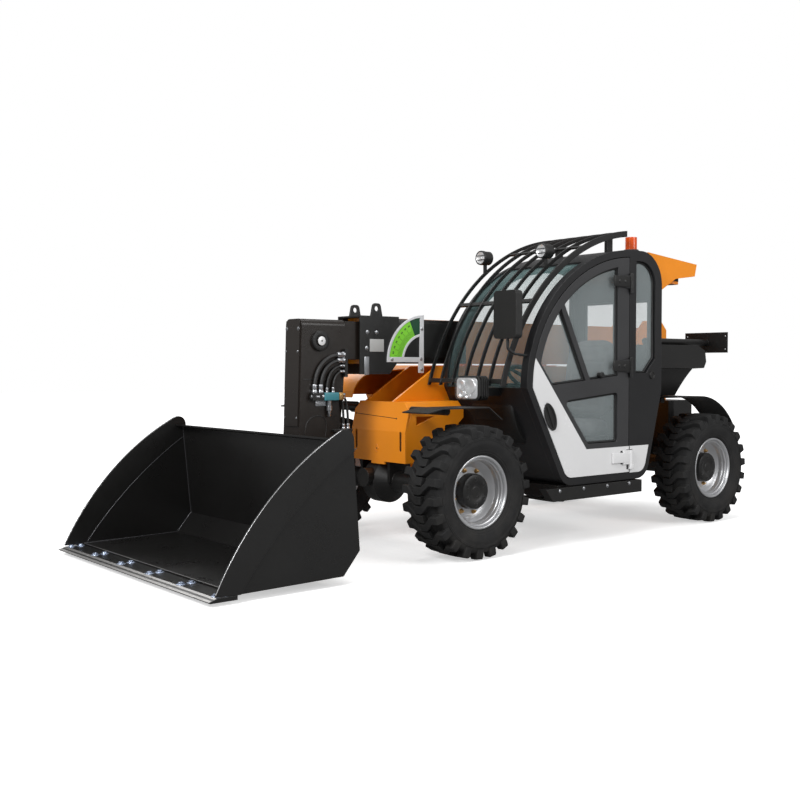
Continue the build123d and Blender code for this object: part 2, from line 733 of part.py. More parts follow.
def hood_hinge(x):
    """One hood hinge: the frame's two lugs with their pin, and the hood's knuckle between them."""
    y, z = FRAME_RIGHT - HOOD_HINGE_OUT, HOOD_TOP + HOOD_HINGE_UP
    half = HOOD_KNUCKLE / 2
    arm = HOOD_HINGE_UP / 2
    lugs = rod_x(y, z, HOOD_PIN_R, x - half - HOOD_LUG, x + half + HOOD_LUG)
    for x0 in (x - half - HOOD_LUG, x + half + SEAT_GAP):
        x1 = x0 + HOOD_LUG - SEAT_GAP
        lugs += rod_x(y, z, HOOD_LUG_R, x0, x1)
        lugs += block(x0, x1, y, FRAME_RIGHT + FRAME_T, z - arm, z + arm)
        lugs += block(x0, x1, FRAME_RIGHT, FRAME_RIGHT + FRAME_T, FRAME_DECK - 1, z)
    sleeve = rod_x(y, z, HOOD_KNUCKLE_R, x - half, x + half)
    sleeve += block(x - half, x + half, y - HOOD_KNUCKLE_R, y, HOOD_TOP - HOOD_T, z)
    return lugs, sleeve - rod_x(y, z, HOOD_PIN_R + RUN_FIT, x - half - 1, x + half + 1)


def hood_outline(d=0.0):
    """Side view of the hood with its rounded nose, inset by d."""
    nose, top, back, foot = HOOD_NOSE - d, HOOD_TOP - d, HOOD_BACK + d, HOOD_FRONT_FOOT - d
    cheek, brow = (nose - 12, HOOD_NOSE_LOW + 44), (nose - 220, HOOD_TOP - 43 - d)
    edge = Line((nose, HOOD_NOSE_LOW), cheek)
    edge += ThreePointArc(cheek, (nose - 82, HOOD_TOP - 88 - d / 2), brow)
    edge += Polyline(brow, (HOOD_FRONT_FOOT - 20, top), (back, top), (back, HOOD_BOTTOM), (foot, HOOD_BOTTOM),
                     (foot + 40, HOOD_BOTTOM + 248), (foot + 130, HOOD_NOSE_LOW), (nose, HOOD_NOSE_LOW))
    return make_face(edge)


def hood():
    """Hinged engine cover, a thin shell open below and towards the boom, with air slots."""
    inner = FRAME_RIGHT - SEAT_GAP
    skin = HOOD_OUT + HOOD_T
    shell = slab(hood_outline(), HOOD_OUT, inner) - slab(hood_outline(HOOD_T), skin, inner + 1)
    shell -= block(HOOD_FRONT_FOOT - HOOD_T, HOOD_BACK + HOOD_T, skin, inner + 1, HOOD_BOTTOM - 1,
                   HOOD_BOTTOM + TRAY_T + HOOD_T)
    slot = Rot(0, 0, 90) * SlotOverall(HOOD_SLOT_H, HOOD_SLOT_W)
    z = (HOOD_BOTTOM + HOOD_TOP) / 2 + HOOD_SLOT_W
    for i in range(HOOD_SLOTS):
        x = HOOD_BACK + 2 * HOOD_SLOT_STEP + i * HOOD_SLOT_STEP
        shell -= slab(Pos(x, z) * slot, HOOD_OUT - 1, skin + 1)
        y = HOOD_OUT + HOOD_SLOT_STEP * (i + 1)
        shell -= run(Pos(y, z) * slot, HOOD_BACK - 1, HOOD_BACK + HOOD_T + 1)
    for x in hood_hinges():
        shell += hood_hinge(x)[1]
    return shell


def lamp_body(x):
    """One bevelled head lamp housing, its glass side towards +X at x."""
    face = chamfer(Rectangle(HEAD_LAMP_W, HEAD_LAMP_H).vertices(), LAMP_BEVEL)
    return Pos(0, HEAD_LAMP_Y, HEAD_LAMP_Z) * run(face, x - HEAD_LAMP_DEPTH, x)


def chassis():
    keep("frame_sides", frame_sides())
    keep("frame_belly", frame_belly())
    keep("front_nose", front_nose())
    keep("rear_frame", rear_frame())
    keep("engine_block", engine())
    keep("engine_hood", hood())
    lamp = mirrored(lamp_body(HOOD_NOSE + HEAD_LAMP_DEPTH / 2)) - slab(hood_outline(), HOOD_OUT, 0)
    keep("hood_lamp", lamp)


# Cab

def cab_outline(d=0.0):
    """Side view of the cab: raked front, elliptical windscreen and roof, rounded rear corner. d insets it."""
    front, rear, top, low = CAB_FRONT - d, CAB_REAR + d, ROOF_Z - d, CAB_BOTTOM + d
    r = REAR_CORNER_R - d
    rake = FRONT_FOOT_IN / (WAIST_Z - CAB_BOTTOM)
    lean = REAR_FOOT_IN / (REAR_KNEE_Z - CAB_BOTTOM)
    front_foot = front - rake * (WAIST_Z - low)
    rear_foot = rear + lean * (REAR_KNEE_Z - low)
    edge = EllipticalCenterArc((ROOF_X, WAIST_Z), front - ROOF_X, top - WAIST_Z, start_angle=0, arc_size=90)
    edge += Line((ROOF_X, top), (rear + r, top))
    edge += CenterArc((rear + r, top - r), r, 90, 90)
    edge += Polyline((rear, top - r), (rear, REAR_KNEE_Z), (rear_foot, low), (front_foot, low),
                     (front, WAIST_Z))
    face = make_face(edge)
    feet = [v for v in face.vertices() if v.Y < low + 1]
    return fillet(feet, max(FOOT_R - d, 12.0))


def cab_clear():
    """The cab's whole outline with a seat gap, to trim what is set against it."""
    return slab(cab_outline(-SEAT_GAP), 0, FAR)


def diagonal_x(z):
    """The door's slanted colour line at a height."""
    return DIAGONAL_X - DIAGONAL_LEAN * (DIAGONAL_Z - z)


def belt_z(x):
    """The lower edge of the door's upper window at a place along the door."""
    return BELT_FRONT_Z + BELT_RISE * (diagonal_x(BELT_FRONT_Z) - x)


def door_outline(d=0.0):
    """The door's outline in side view, inset by d."""
    return cab_outline(FRAME_TUBE + d) & half_plane(HINGE_X + d, 0, 0, FAR)


def behind_diagonal(d):
    """Everything behind the door's slanted line by d."""
    high, low = ROOF_Z, PALE_TOP_Z - WAIST_Z
    return poly((diagonal_x(high) - d, high), (diagonal_x(low) - d, low), (-FAR, low), (-FAR, high))


def door_windows():
    """The upper and lower window openings of the door, in side view."""
    rear = HINGE_X + DOOR_REAR_RAIL
    front = diagonal_x(BELT_FRONT_Z)
    above = poly((0, belt_z(0)), (rear, belt_z(rear)), (rear, FAR), (0, FAR))
    upper = cab_outline(FRAME_TUBE + DOOR_GAP + DOOR_RAIL) & above & behind_diagonal(DIAGONAL_RAIL / 2)
    low = LOWER_SILL_Z
    lower = poly((rear, low), (rear, belt_z(rear) - BELT_DEPTH), (front, belt_z(front) - BELT_DEPTH),
                 (front, low))
    lower = lower & behind_diagonal(DIAGONAL_RAIL)
    return upper, fillet(lower.vertices(), WINDOW_R)


def pane_bar():
    """The slanted bar that splits the door's upper window, in side view."""
    def at(z):
        return BAR_TOP_X - BAR_LEAN * (BAR_TOP_Z - z)
    high, low = ROOF_Z, BELT_FRONT_Z - BELT_DEPTH / 2
    return poly((at(high), high), (at(low), low), (at(low) - PANE_BAR, low), (at(high) - PANE_BAR, high))


def quarter_window():
    """The window opening behind the door, in side view."""
    front, rear = HINGE_X - PILLAR_W, CAB_REAR + FRAME_TUBE + WINDOW_R
    low = belt_z(front)
    face = cab_outline(FRAME_TUBE + WINDOW_R) & half_plane(front, -FAR, low, FAR)
    return face - poly((rear + QUARTER_CUT, low), (rear - 1, low - 1), (rear - 1, low + QUARTER_CUT))


def door_hinge(z):
    """One door hinge at a height: the pillar's lug with its pin, and the door's strap with its knuckle."""
    x, y = HINGE_X, CAB_LEFT + HINGE_PIN_OUT
    low, high = z - HINGE_HALF, z + HINGE_HALF
    lug_top = low - SEAT_GAP
    pillar_lug = block(x - 2 * HINGE_R, x, CAB_LEFT - 1, y, lug_top - HINGE_LUG, lug_top)
    hinge_pin = rod_z(x, y, HINGE_PIN_R, lug_top - 1, high)
    pillar_lug += rod_z(x, y, HINGE_R, lug_top - HINGE_LUG, lug_top) + hinge_pin
    nose = HINGE_HALF * 0.6
    strap = poly((x, low), (x + HINGE_STRAP - nose, z - nose), (x + HINGE_STRAP, z),
                 (x + HINGE_STRAP - nose, z + nose), (x, high))
    door_strap = slab(strap, CAB_LEFT + SKIN_T + 1, y) + rod_z(x, y, HINGE_R, low, high)
    foot = block(x + DOOR_GAP + 1, x + HINGE_STRAP / 2, CAB_LEFT - 1, y, z - nose, z + nose)
    door_strap += foot
    return pillar_lug, door_strap - rod_z(x, y, HINGE_PIN_R + RUN_FIT, low - 1, high + 1)


def cab_shell():
    """Cab walls, floor and roof around the operator's space."""
    y_in, y_out = CAB_RIGHT + CAB_WALL_T, CAB_LEFT - CAB_SIDE_T
    outer = cab_outline()
    side = slab(outer - door_outline() - quarter_window(), y_out, CAB_LEFT)
    for z in (HINGE_LOW, HINGE_MID, HINGE_HIGH):
        side += door_hinge(z)[0]
    keep("cab_left_frame", side)
    keep("cab_right_wall", slab(outer - right_window(), CAB_RIGHT, y_in))
    band = slab(outer - cab_outline(CAB_WALL_T), y_in, y_out)
    floor_top = CAB_BOTTOM + CAB_WALL_T
    split = WAIST_Z + REAR_SPLIT * (ROOF_Z - WAIST_Z)
    behind = block(-FAR, ROOF_X, 0, FAR, floor_top, FAR)
    keep("cab_floor", band & block(-FAR, 0, 0, FAR, 0, WAIST_Z) - behind)
    keep("cab_rear_wall", (band & behind & block(-FAR, ROOF_X, 0, FAR, 0, split)) - rear_window())
    keep("cab_roof", band & block(-FAR, screen_top_x(), 0, FAR, split, FAR))
    panel = cab_outline(FRAME_TUBE) & half_plane(-FAR, HINGE_X - DOOR_GAP, 0, PALE_TOP_Z)
    keep("corner_panel", slab(panel, CAB_LEFT, CAB_LEFT + SKIN_T) - hinge_room())


def hinge_room():
    """The space the lowest door hinge takes on the cab's side."""
    x, z = HINGE_X, HINGE_LOW
    low = z - HINGE_HALF - HINGE_LUG - DOOR_GAP
    reach = 2 * HINGE_R + DOOR_GAP
    return block(x - reach, x + reach, CAB_LEFT - 1, FAR, low, z + HINGE_HALF + DOOR_GAP)


def screen_top_x():
    """Where the windscreen meets the roof."""
    return ROOF_X + SCREEN_TOP * (CAB_FRONT - ROOF_X)


def right_window():
    """The right wall's window opening, in side view."""
    edge = 2 * FRAME_TUBE
    return cab_outline(edge) & half_plane(-FAR, 0, WAIST_Z, FAR)


def rear_window():
    """The rear wall's window opening."""
    y0, y1 = CAB_RIGHT + 2 * FRAME_TUBE, CAB_LEFT - CAB_SIDE_T - FRAME_TUBE
    high = WAIST_Z + REAR_SPLIT * (ROOF_Z - WAIST_Z) - FRAME_TUBE
    return block(-FAR, ROOF_X, y0, y1, WAIST_Z, high)


def cab_panes():
    """The fixed panes of the cab, each set in its opening."""
    y_in, y_out = CAB_RIGHT + CAB_WALL_T, CAB_LEFT - CAB_SIDE_T
    curve = slab(cab_outline(GLASS_SET) - cab_outline(GLASS_SET + GLASS_T), y_in, y_out)
    keep("windscreen", curve & block(screen_top_x(), 0, 0, FAR, WAIST_Z, FAR))
    mid = (CAB_LEFT + y_out) / 2
    back = slab(half_plane(CAB_REAR + GLASS_SET, CAB_REAR + GLASS_SET + GLASS_T, 0, FAR), 0, FAR)
    panes = [slab(quarter_window(), mid - GLASS_T / 2, mid + GLASS_T / 2),
             slab(right_window(), CAB_RIGHT + GLASS_SET, CAB_RIGHT + GLASS_SET + GLASS_T),
             back & rear_window()]
    keep("cab_glass", Compound([pane.solids()[0] for pane in panes]))


def door():
    """Rear-hinged door with its windows, the pale skin below its slanted line and the pull handle."""
    upper, lower = door_windows()
    bar_face = pane_bar() & upper
    frame = slab(door_outline(DOOR_GAP) - upper - lower, CAB_LEFT - DOOR_T, CAB_LEFT)
    frame += slab(bar_face, CAB_LEFT - DOOR_T, CAB_LEFT)
    for z in (HINGE_LOW, HINGE_MID, HINGE_HIGH):
        frame += door_hinge(z)[1]
    keep("door_frame", frame)
    mid = CAB_LEFT - DOOR_T / 2
    panes = [face for face in (upper - pane_bar()).faces()] + [lower]
    keep("door_glass",
         Compound([slab(face, mid - GLASS_T / 2, mid + GLASS_T / 2).solids()[0] for face in panes]))
    skin = door_outline(DOOR_GAP) - behind_diagonal(0)
    skin += door_outline(DOOR_GAP) & half_plane(-FAR, 0, 0, PALE_TOP_Z)
    hinge_foot = block(HINGE_X, HINGE_X + HINGE_STRAP / 2 + 1, 0, FAR, HINGE_LOW - HINGE_HALF,
                       HINGE_LOW + HINGE_HALF)
    keep("door_panel", slab(skin, CAB_LEFT, CAB_LEFT + SKIN_T) - hinge_foot - hinge_room())
    place = Pos(HANDLE_X, HANDLE_Z) * Rot(0, 0, HANDLE_TURN)
    rim = place * Ellipse(HANDLE_LONG, HANDLE_WIDE)
    cup = place * Ellipse(HANDLE_LONG - HANDLE_RIM, HANDLE_WIDE - HANDLE_RIM)
    grip = place * Rectangle(2 * HANDLE_LONG - HANDLE_RIM, HANDLE_RIM)
    y0 = CAB_LEFT + SKIN_T
    pull = slab(rim, y0, y0 + HANDLE_T) - slab(cup, y0 + HANDLE_T / 3, FAR)
    keep("door_handle", pull + slab(grip & rim, y0, y0 + HANDLE_T))


# Inside and outside fittings of the cab

def seat():
    """Seat on its box, with a post behind the back cushion."""
    rear = CAB_REAR + SEAT_AHEAD
    floor = CAB_BOTTOM + CAB_WALL_T
    pad_low = SEAT_TOP - SEAT_PAD
    front = rear + SEAT_LENGTH
    cushion = block(rear, front, SEAT_Y - SEAT_HALF, SEAT_Y + SEAT_HALF, pad_low, SEAT_TOP)
    keep("seat_cushion", chamfer(cushion.edges(), SEAT_BEVEL))
    lift = SEAT_TOP + SEAT_BACK_H / 2 + SEAT_GAP
    place = Pos(rear - SEAT_BACK_T / 4, SEAT_Y, lift) * Rot(0, -SEAT_LEAN, 0)
    keep("seat_back", place * chamfer(Box(SEAT_BACK_T, 2 * SEAT_HALF, SEAT_BACK_H).edges(), SEAT_BEVEL))
    post_w, post_t = SEAT_HALF * 0.65, SEAT_BEVEL * 0.75
    base = block(rear + SEAT_BEVEL, front - 2 * SEAT_BEVEL, SEAT_Y - SEAT_HALF * 0.8,
                 SEAT_Y + SEAT_HALF * 0.8, floor, pad_low)
    post_at = Pos(-(SEAT_BACK_T + post_t) / 2 - SEAT_GAP, 0, -SEAT_BACK_H / 4)
    post = place * post_at * Box(post_t, post_w, SEAT_BACK_H)
    foot = block(rear - SEAT_BACK_T, rear + 2 * SEAT_BEVEL, SEAT_Y - post_w / 2, SEAT_Y + post_w / 2,
                 pad_low - SEAT_PAD / 2, pad_low - SEAT_GAP)
    keep("seat_base", base + foot + post)


def controls():
    """Dash, steering column and wheel."""
    top = WAIST_Z - 40
    dash = poly((CAB_FRONT - 134, top - 380), (CAB_FRONT - 14, top - 40), (CAB_FRONT - 174, top),
                (CAB_FRONT - 304, top - 140), (CAB_FRONT - 334, top - 380))
    shape = slab(dash, SEAT_Y - 200, SEAT_Y + 200) & slab(cab_outline(CAB_WALL_T + SEAT_GAP), 0, FAR)
    rim = Plane((CAB_FRONT - 440, SEAT_Y, WAIST_Z + 44), z_dir=(-0.55, 0, 0.835))
    shape += rim * Pos(0, 0, -170) * Cylinder(COLUMN_R, 340)
    ring = RegularPolygon(WHEEL_RING_R, WHEEL_RING_SIDES)
    ring -= RegularPolygon(WHEEL_RING_R - WHEEL_RING_T, WHEEL_RING_SIDES)
    spokes = Rectangle(2 * WHEEL_RING_R - WHEEL_RING_T, WHEEL_RING_T)
    return shape + rim * extrude(ring + spokes, WHEEL_RING_T, both=False)


def guard_circle():
    """Centre and radius of the guard's outer edge, from its foot, its end and its rise over the chord."""
    x0, z0 = CAB_FRONT + GUARD_FOOT_AHEAD, WAIST_Z + GUARD_FOOT_UP
    x1, z1 = ROOF_X, ROOF_Z + GUARD_END_UP
    chord = hypot(x1 - x0, z1 - z0)
    sag = GUARD_SAG * chord
    r = chord * chord / (8 * sag) + sag / 2
    nx, nz = -(z1 - z0) / chord, (x1 - x0) / chord
    return (x0 + x1) / 2 + nx * (r - sag), (z0 + z1) / 2 + nz * (r - sag), r, z0, x1


def guard_at(share, depth):
    """A point on the guard's curve: share 0 at the foot, 1 at the roof, depth in from the outer edge."""
    cx, cz, r, foot_z, end_x = guard_circle()
    a0 = degrees(atan2(foot_z - cz, sqrt(r * r - (foot_z - cz) ** 2)))
    a1 = degrees(atan2(sqrt(r * r - (end_x - cx) ** 2), end_x - cx))
    a = radians(a0 + share * (a1 - a0))
    return cx + (r - depth) * cos(a), cz + (r - depth) * sin(a), degrees(a)


def guard_bar_y(i):
    """The right face of one guard bar."""
    return GUARD_RIGHT + i * (GUARD_LEFT - GUARD_RIGHT - GUARD_BAR_T) / (GUARD_BARS - 1)


def guard():
    """Curved flat bars over the windscreen, tied by flat cross bars and held by brackets."""
    cx, cz, r, foot_z, end_x = guard_circle()
    shape = Part()
    for i in range(GUARD_BARS):
        y = guard_bar_y(i)
        depth = GUARD_EDGE_DEPTH if i == GUARD_BARS - 1 else GUARD_DEPTH
        ring = Pos(cx, cz) * (Circle(r) - Circle(r - depth))
        shape += slab(ring & half_plane(end_x, 0, foot_z, FAR), y, y + GUARD_BAR_T)
    for share in (0.02, 0.36, 0.72, 0.985):
        x, z, a = guard_at(share, GUARD_DEPTH / 2)
        tie = Pos(x, z) * Rot(0, 0, a) * Rectangle(GUARD_TIE, 2 * GUARD_TIE)
        shape += slab(tie, GUARD_RIGHT, GUARD_LEFT)
    foot_x, foot_mid, a = guard_at(0.02, GUARD_DEPTH / 2)
    end_mid_x, end_z, a = guard_at(0.96, GUARD_DEPTH / 2)
    for y in (guard_bar_y(1), guard_bar_y(GUARD_BARS - 2)):
        shape += block(foot_x - GUARD_FOOT_AHEAD - FRAME_TUBE, foot_x, y, y + 2 * GUARD_TIE,
                       foot_mid - GUARD_TIE, foot_mid + GUARD_TIE)
        shape += block(end_mid_x - 2 * GUARD_TIE, end_mid_x + 2 * GUARD_TIE, y, y + 2 * GUARD_TIE,
                       ROOF_Z - 2 * GUARD_TIE, end_z)
    return shape - cab_clear()


def work_lamps():
    """Two round lamps standing on the guard, facing forward."""
    x, z, a = guard_at(LAMP_SHARE, 0)
    lamps = []
    for i in (0, GUARD_BARS - 2):
        y = guard_bar_y(i) + GUARD_BAR_T / 2
        lamp = rod_x(y, z + LAMP_RISE, LAMP_R, x - LAMP_DEPTH / 2, x + LAMP_DEPTH / 2)
        stem = block(x - GUARD_TIE, x + GUARD_TIE, y - GUARD_BAR_T / 2, y + GUARD_BAR_T / 2, z - GUARD_DEPTH,
                     z + LAMP_RISE - LAMP_R / 2)
        lamps.append((lamp + stem - guard_shadow()).solids()[0])
    return lamps


def guard_shadow():
    """The guard's curved band and all within it, to trim what stands on its outer edge."""
    cx, cz, r, foot_z, end_x = guard_circle()
    return rod_y(cx, cz, r + SEAT_GAP, -FAR, FAR)


def head_lamp():
    """Left head lamp on an arm from the cab's front."""
    lamp = lamp_body(HEAD_LAMP_X + HEAD_LAMP_DEPTH / 2)
    arm = block(CAB_FRONT - 2 * FRAME_TUBE, HEAD_LAMP_X - HEAD_LAMP_DEPTH / 2 + 1, HEAD_LAMP_Y - LAMP_BEVEL,
                HEAD_LAMP_Y + LAMP_BEVEL, HEAD_LAMP_Z - 2 * LAMP_BEVEL, HEAD_LAMP_Z)
    return lamp + (arm - cab_clear())


def mirror_piece():
    """Mirror head on a bent arm from the cab's front pillar."""
    head = Box(MIRROR_T, MIRROR_W, MIRROR_H)
    head = fillet(head.edges().filter_by(Axis.X), LAMP_BEVEL)
    low = MIRROR_Z - MIRROR_H / 2
    y_foot = CAB_LEFT - CAB_SIDE_T / 2
    arm = tube_path(MIRROR_ARM_R, 3 * MIRROR_ARM_R, (MIRROR_X, MIRROR_Y, low + 10),
                    (MIRROR_X, MIRROR_Y, low - 65), (MIRROR_X - 40, y_foot, low - 95),
                    (CAB_FRONT - 80, y_foot, low - 110))
    return Pos(MIRROR_X, MIRROR_Y, MIRROR_Z) * head + (arm - cab_clear())


def roof_pod():
    """Housing behind the roof, tapering rearward, with a round lamp under it."""
    x0, x1 = CAB_REAR + FRAME_TUBE, CAB_REAR - POD_LENGTH
    high = ROOF_Z + 12
    outline = poly((x0, high), (x1, high - 52), (x1 + 24, high - 142), (x1 + 260, high - 172),
                   (CAB_REAR - 110, high - 262), (x0, high - 262))
    dome = rod_z(x1 + POD_DOME_R + 80, POD_LEFT - 2 * POD_DOME_R, POD_DOME_R, high - 200, high - 100)
    return slab(outline, POD_RIGHT, POD_LEFT) - cab_clear() + dome


def beacon():
    """Amber beacon on the rear of the roof."""
    x, y = CAB_REAR + REAR_CORNER_R / 2, BEACON_Y
    foot = rod_z(x, y, BEACON_R, ROOF_Z - BEACON_R, ROOF_Z + BEACON_R / 2) - cab_clear()
    return foot + rod_z(x, y, BEACON_R * 0.8, ROOF_Z + BEACON_R / 2 - 1, ROOF_Z + BEACON_H)


def cab():
    cab_shell()
    cab_panes()
    door()
    seat()
    keep("steering_console", controls())
    keep("cab_guard", guard())
    keep("lamps", Compound([head_lamp().solids()[0]] + work_lamps()))
    keep("mirror", mirror_piece())
    keep("beacon", beacon())
    keep("roof_pod", roof_pod())


# Rear corner and fenders

def side_tank():
    """Flared tank behind the cab: a tall upper band over an undercut lower part."""
    x0 = CAB_REAR - TANK_BEHIND
    lip = (REAR + 18, TANK_LIP_Z)
    foot = (REAR + 130, TANK_LOW)
    edge = Polyline((x0, TANK_LOW), (x0, TANK_TOP), (REAR + 100, TANK_TOP), (REAR + 5, TANK_TOP - 40),
                    (REAR - 10, TANK_LIP_Z + 47), lip)
    edge += ThreePointArc(lip, (REAR + 92, TANK_LIP_Z - 110), foot) + Line(foot, (x0, TANK_LOW))
    section = poly((FRAME_LEFT, TANK_LOW), (TANK_LOW_OUT, TANK_LOW), (TANK_OUT - 100, TANK_LIP_Z - 5),
                   (TANK_OUT, TANK_LIP_Z), (TANK_OUT, TANK_TOP), (FRAME_LEFT, TANK_TOP))
    return slab(make_face(edge), FRAME_LEFT, FAR) & run(section, -FAR, 0)


def rear_fender(y_frame, side):
    """One curved rear fender over its wheel, on a tube from the frame plate."""
    rise = tan_share(34.0) * FAR
    sector = poly((0, 0), (0, FAR), (-FAR, FAR), (-FAR, rise))
    face = (Circle(FENDER_R + FENDER_T) - Circle(FENDER_R)) & sector
    face += half_plane(0, FENDER_AHEAD, FENDER_R, FENDER_R + FENDER_T)
    skin = Pos(REAR, 0, AXLE_Z) * slab(face, side * FENDER_IN, side * FENDER_OUT)
    tube_z = AXLE_Z + FENDER_R - FENDER_TUBE_R + 1
    return skin + rod_y(REAR + FENDER_AHEAD / 2, tube_z, FENDER_TUBE_R, y_frame,
                        side * (FENDER_IN + FENDER_TUBE_R * 3))


def tan_share(angle):
    """Rise over run of an angle in degrees."""
    return sin(radians(angle)) / cos(radians(angle))


def front_fender():
    """The left front fender: a bent flat sheet on a tube from the front plate."""
    z, t = FRONT_FENDER_Z, FENDER_T
    tip, knee, back = TYRE_OD * 0.445, TYRE_OD * 0.29, -TYRE_OD * 0.18
    tail = -TYRE_OD * 0.32
    sheet = poly((tip, z - 24), (knee, z), (back, z), (tail, z - 79), (tail, z - 79 + t), (back, z + t),
                 (knee, z + t), (tip, z - 24 + t))
    tube = rod_y(NOSE_FRONT / 2, z - FENDER_TUBE_R + 1, FENDER_TUBE_R, NOSE_HALF,
                 FRONT_FENDER_IN + FENDER_TUBE_R * 3)
    return slab(sheet, FRONT_FENDER_IN, FRONT_FENDER_OUT) + tube


def plate_bracket():
    """Blank rear plate on a tube above the tank."""
    x = REAR - PLATE_BEHIND
    tube = rod_x(PLATE_Y, PLATE_Z, PLATE_TUBE_R, x, CAB_REAR - 3 * PLATE_TUBE_R)
    saddle = block(CAB_REAR - 9 * PLATE_TUBE_R, CAB_REAR - 6 * PLATE_TUBE_R, PLATE_Y - PLATE_TUBE_R / 2,
                   PLATE_Y + PLATE_TUBE_R / 2, TANK_TOP, PLATE_Z)
    plate = block(x - PLATE_T, x, PLATE_Y - PLATE_W / 2, PLATE_Y + PLATE_W / 2, PLATE_Z - PLATE_H / 2,
                  PLATE_Z + PLATE_H / 2)
    for y in (-PLATE_HOLE_W / 2, PLATE_HOLE_W / 2):
        for z in (-PLATE_HOLE_H / 2, PLATE_HOLE_H / 2):
            plate -= rod_x(PLATE_Y + y, PLATE_Z + z, PLATE_HOLE_R, x - 2 * PLATE_T, x + PLATE_T)
    return tube + saddle + plate


def rear_corner():
    keep("side_tank", side_tank())
    keep("plate_bracket", plate_bracket())
    front = front_fender()
    skins = [front, mirrored(front), rear_fender(FRAME_LEFT, 1), rear_fender(FRAME_RIGHT, -1)]
    keep("fenders", Compound([skin.solids()[0] for skin in skins]))


# Boom, bucket and cylinders

def boom_outer():
    """Outer boom: a box tube round at the pivot end, with wear pads and the lift cylinder's ears."""
    h, w = OUTER_H / 2, OUTER_W / 2
    face = half_plane(PIVOT_X, OUTER_FRONT, PIVOT_Z - h, PIVOT_Z + h) + Pos(PIVOT_X, PIVOT_Z) * Circle(h)
    shape = slab(face, BOOM_Y - w, BOOM_Y + w)
    bore_w, bore_h = w - OUTER_WALL, h - OUTER_WALL
    shape -= block(PIVOT_X + OUTER_SOLID, OUTER_FRONT + 1, BOOM_Y - bore_w, BOOM_Y + bore_w, PIVOT_Z - bore_h,
                   PIVOT_Z + bore_h)
    shape += rod_y(PIVOT_X, PIVOT_Z, PIVOT_PIN_R, FRAME_RIGHT, FRAME_LEFT)
    ring = Rectangle(2 * bore_w + 2, 2 * bore_h + 2)
    ring -= Rectangle(INNER_W + 2 * SLIDE_GAP, INNER_H + 2 * SLIDE_GAP)
    shape += Pos(0, BOOM_Y, PIVOT_Z) * run(ring, OUTER_FRONT - PAD_LENGTH, OUTER_FRONT)
    low = PIVOT_Z - h
    eye, spread = LIFT_ROD_R + 9, EAR_TOP
    ear = poly((LIFT_EYE_X - spread, low + 2), (LIFT_EYE_X + spread, low + 2),
               (LIFT_EYE_X + eye, LIFT_EYE_Z - eye), (LIFT_EYE_X - eye, LIFT_EYE_Z - eye))
    for side in (-1, 1):
        y = BOOM_Y + side * (EYE_T / 2 + SIDE_GAP)
        shape += slab(ear, y, y + side * EAR_PLATE)
    return shape


def boom_collar():
    """Dark end collar of the outer boom with its two lifting ears and the long side plates."""
    h, w, t = OUTER_H / 2, OUTER_W / 2, COLLAR_T
    top = PIVOT_Z + h
    cheek = poly((COLLAR_BACK, COLLAR_CUT), (COLLAR_BACK + 80, COLLAR_LOW), (COLLAR_FRONT, COLLAR_LOW),
                 (COLLAR_FRONT, top + t), (COLLAR_BACK, top + t), (COLLAR_BACK, top - 2 * t),
                 (SIDE_PLATE_BACK, top - 2 * t), (SIDE_PLATE_BACK, SIDE_PLATE_LOW),
                 (COLLAR_BACK, SIDE_PLATE_LOW))
    ear = poly((EAR_X - EAR_FOOT, top), (EAR_X + EAR_FOOT, top), (EAR_X + EAR_HEAD, top + EAR_TOP),
               (EAR_X - EAR_HEAD, top + EAR_TOP))
    ear = fillet(ear.vertices().sort_by(Axis.Y)[-2:], EAR_HEAD * 0.8)
    hole = Pos(EAR_X, top + EAR_RISE) * Circle(EAR_HOLE_R)
    shape = Part()
    for side in (-1, 1):
        y = BOOM_Y + side * w
        shape += slab(cheek + ear - hole, y, y + side * t)
    return shape + block(COLLAR_BACK, COLLAR_FRONT, BOOM_Y - w - t, BOOM_Y + w + t, top, top + t)


def load_quadrant():
    """Load quadrant beside the boom: a rimmed quarter ring with its scale band and a hanging foot."""
    r, bar_w = QUADRANT_R, QUADRANT_BAR
    corner = Pos(QUADRANT_X, QUADRANT_Z)
    quarter = half_plane(0, r + 1, 0, r + 1)
    rim = (Circle(r) - Circle(r - QUADRANT_RIM)) & quarter
    rim += (Circle(r - QUADRANT_BAND) - Circle(r - QUADRANT_BAND - QUADRANT_RIM)) & quarter
    rim += half_plane(0, r, 0, bar_w) + half_plane(0, bar_w, 0, r)
    rim += half_plane(0, QUADRANT_FOOT_W, -QUADRANT_FOOT, 1)
    rim = rim & (Circle(r) + half_plane(0, r, -QUADRANT_FOOT, 0))
    band = (Circle(r - 2) - Circle(r - QUADRANT_BAND - 2)) & quarter
    y0 = BOOM_Y + OUTER_W / 2 + COLLAR_T
    thin = QUADRANT_T / 2
    shape = slab(corner * rim, y0, y0 + QUADRANT_T) + slab(corner * band, y0, y0 + thin)
    return shape


def head_profile():
    """Side view of the drop head, from the boom's end down to the carriage pin."""
    cx, cz = CARRIAGE_X, CARRIAGE_Z
    low = PIVOT_Z - INNER_H / 2
    face = poly((HEAD_BACK, low), (HEAD_BACK, HEAD_TOP), (HEAD_FRONT, HEAD_TOP),
                (HEAD_KNEE_X, HEAD_KNEE_Z), (HEAD_KNEE_X + 11, HEAD_SHIN_Z), (cx - 44, cz + 130),
                (cx + 50, cz + 36), (cx, cz - CARRIAGE_BOSS_R), (cx - 60, cz - 15),
                (HEAD_BACK + 198, cz + 180), (HEAD_BACK + 38, HEAD_KNEE_Z + 20))
    return face + Pos(cx, cz) * Circle(CARRIAGE_BOSS_R)


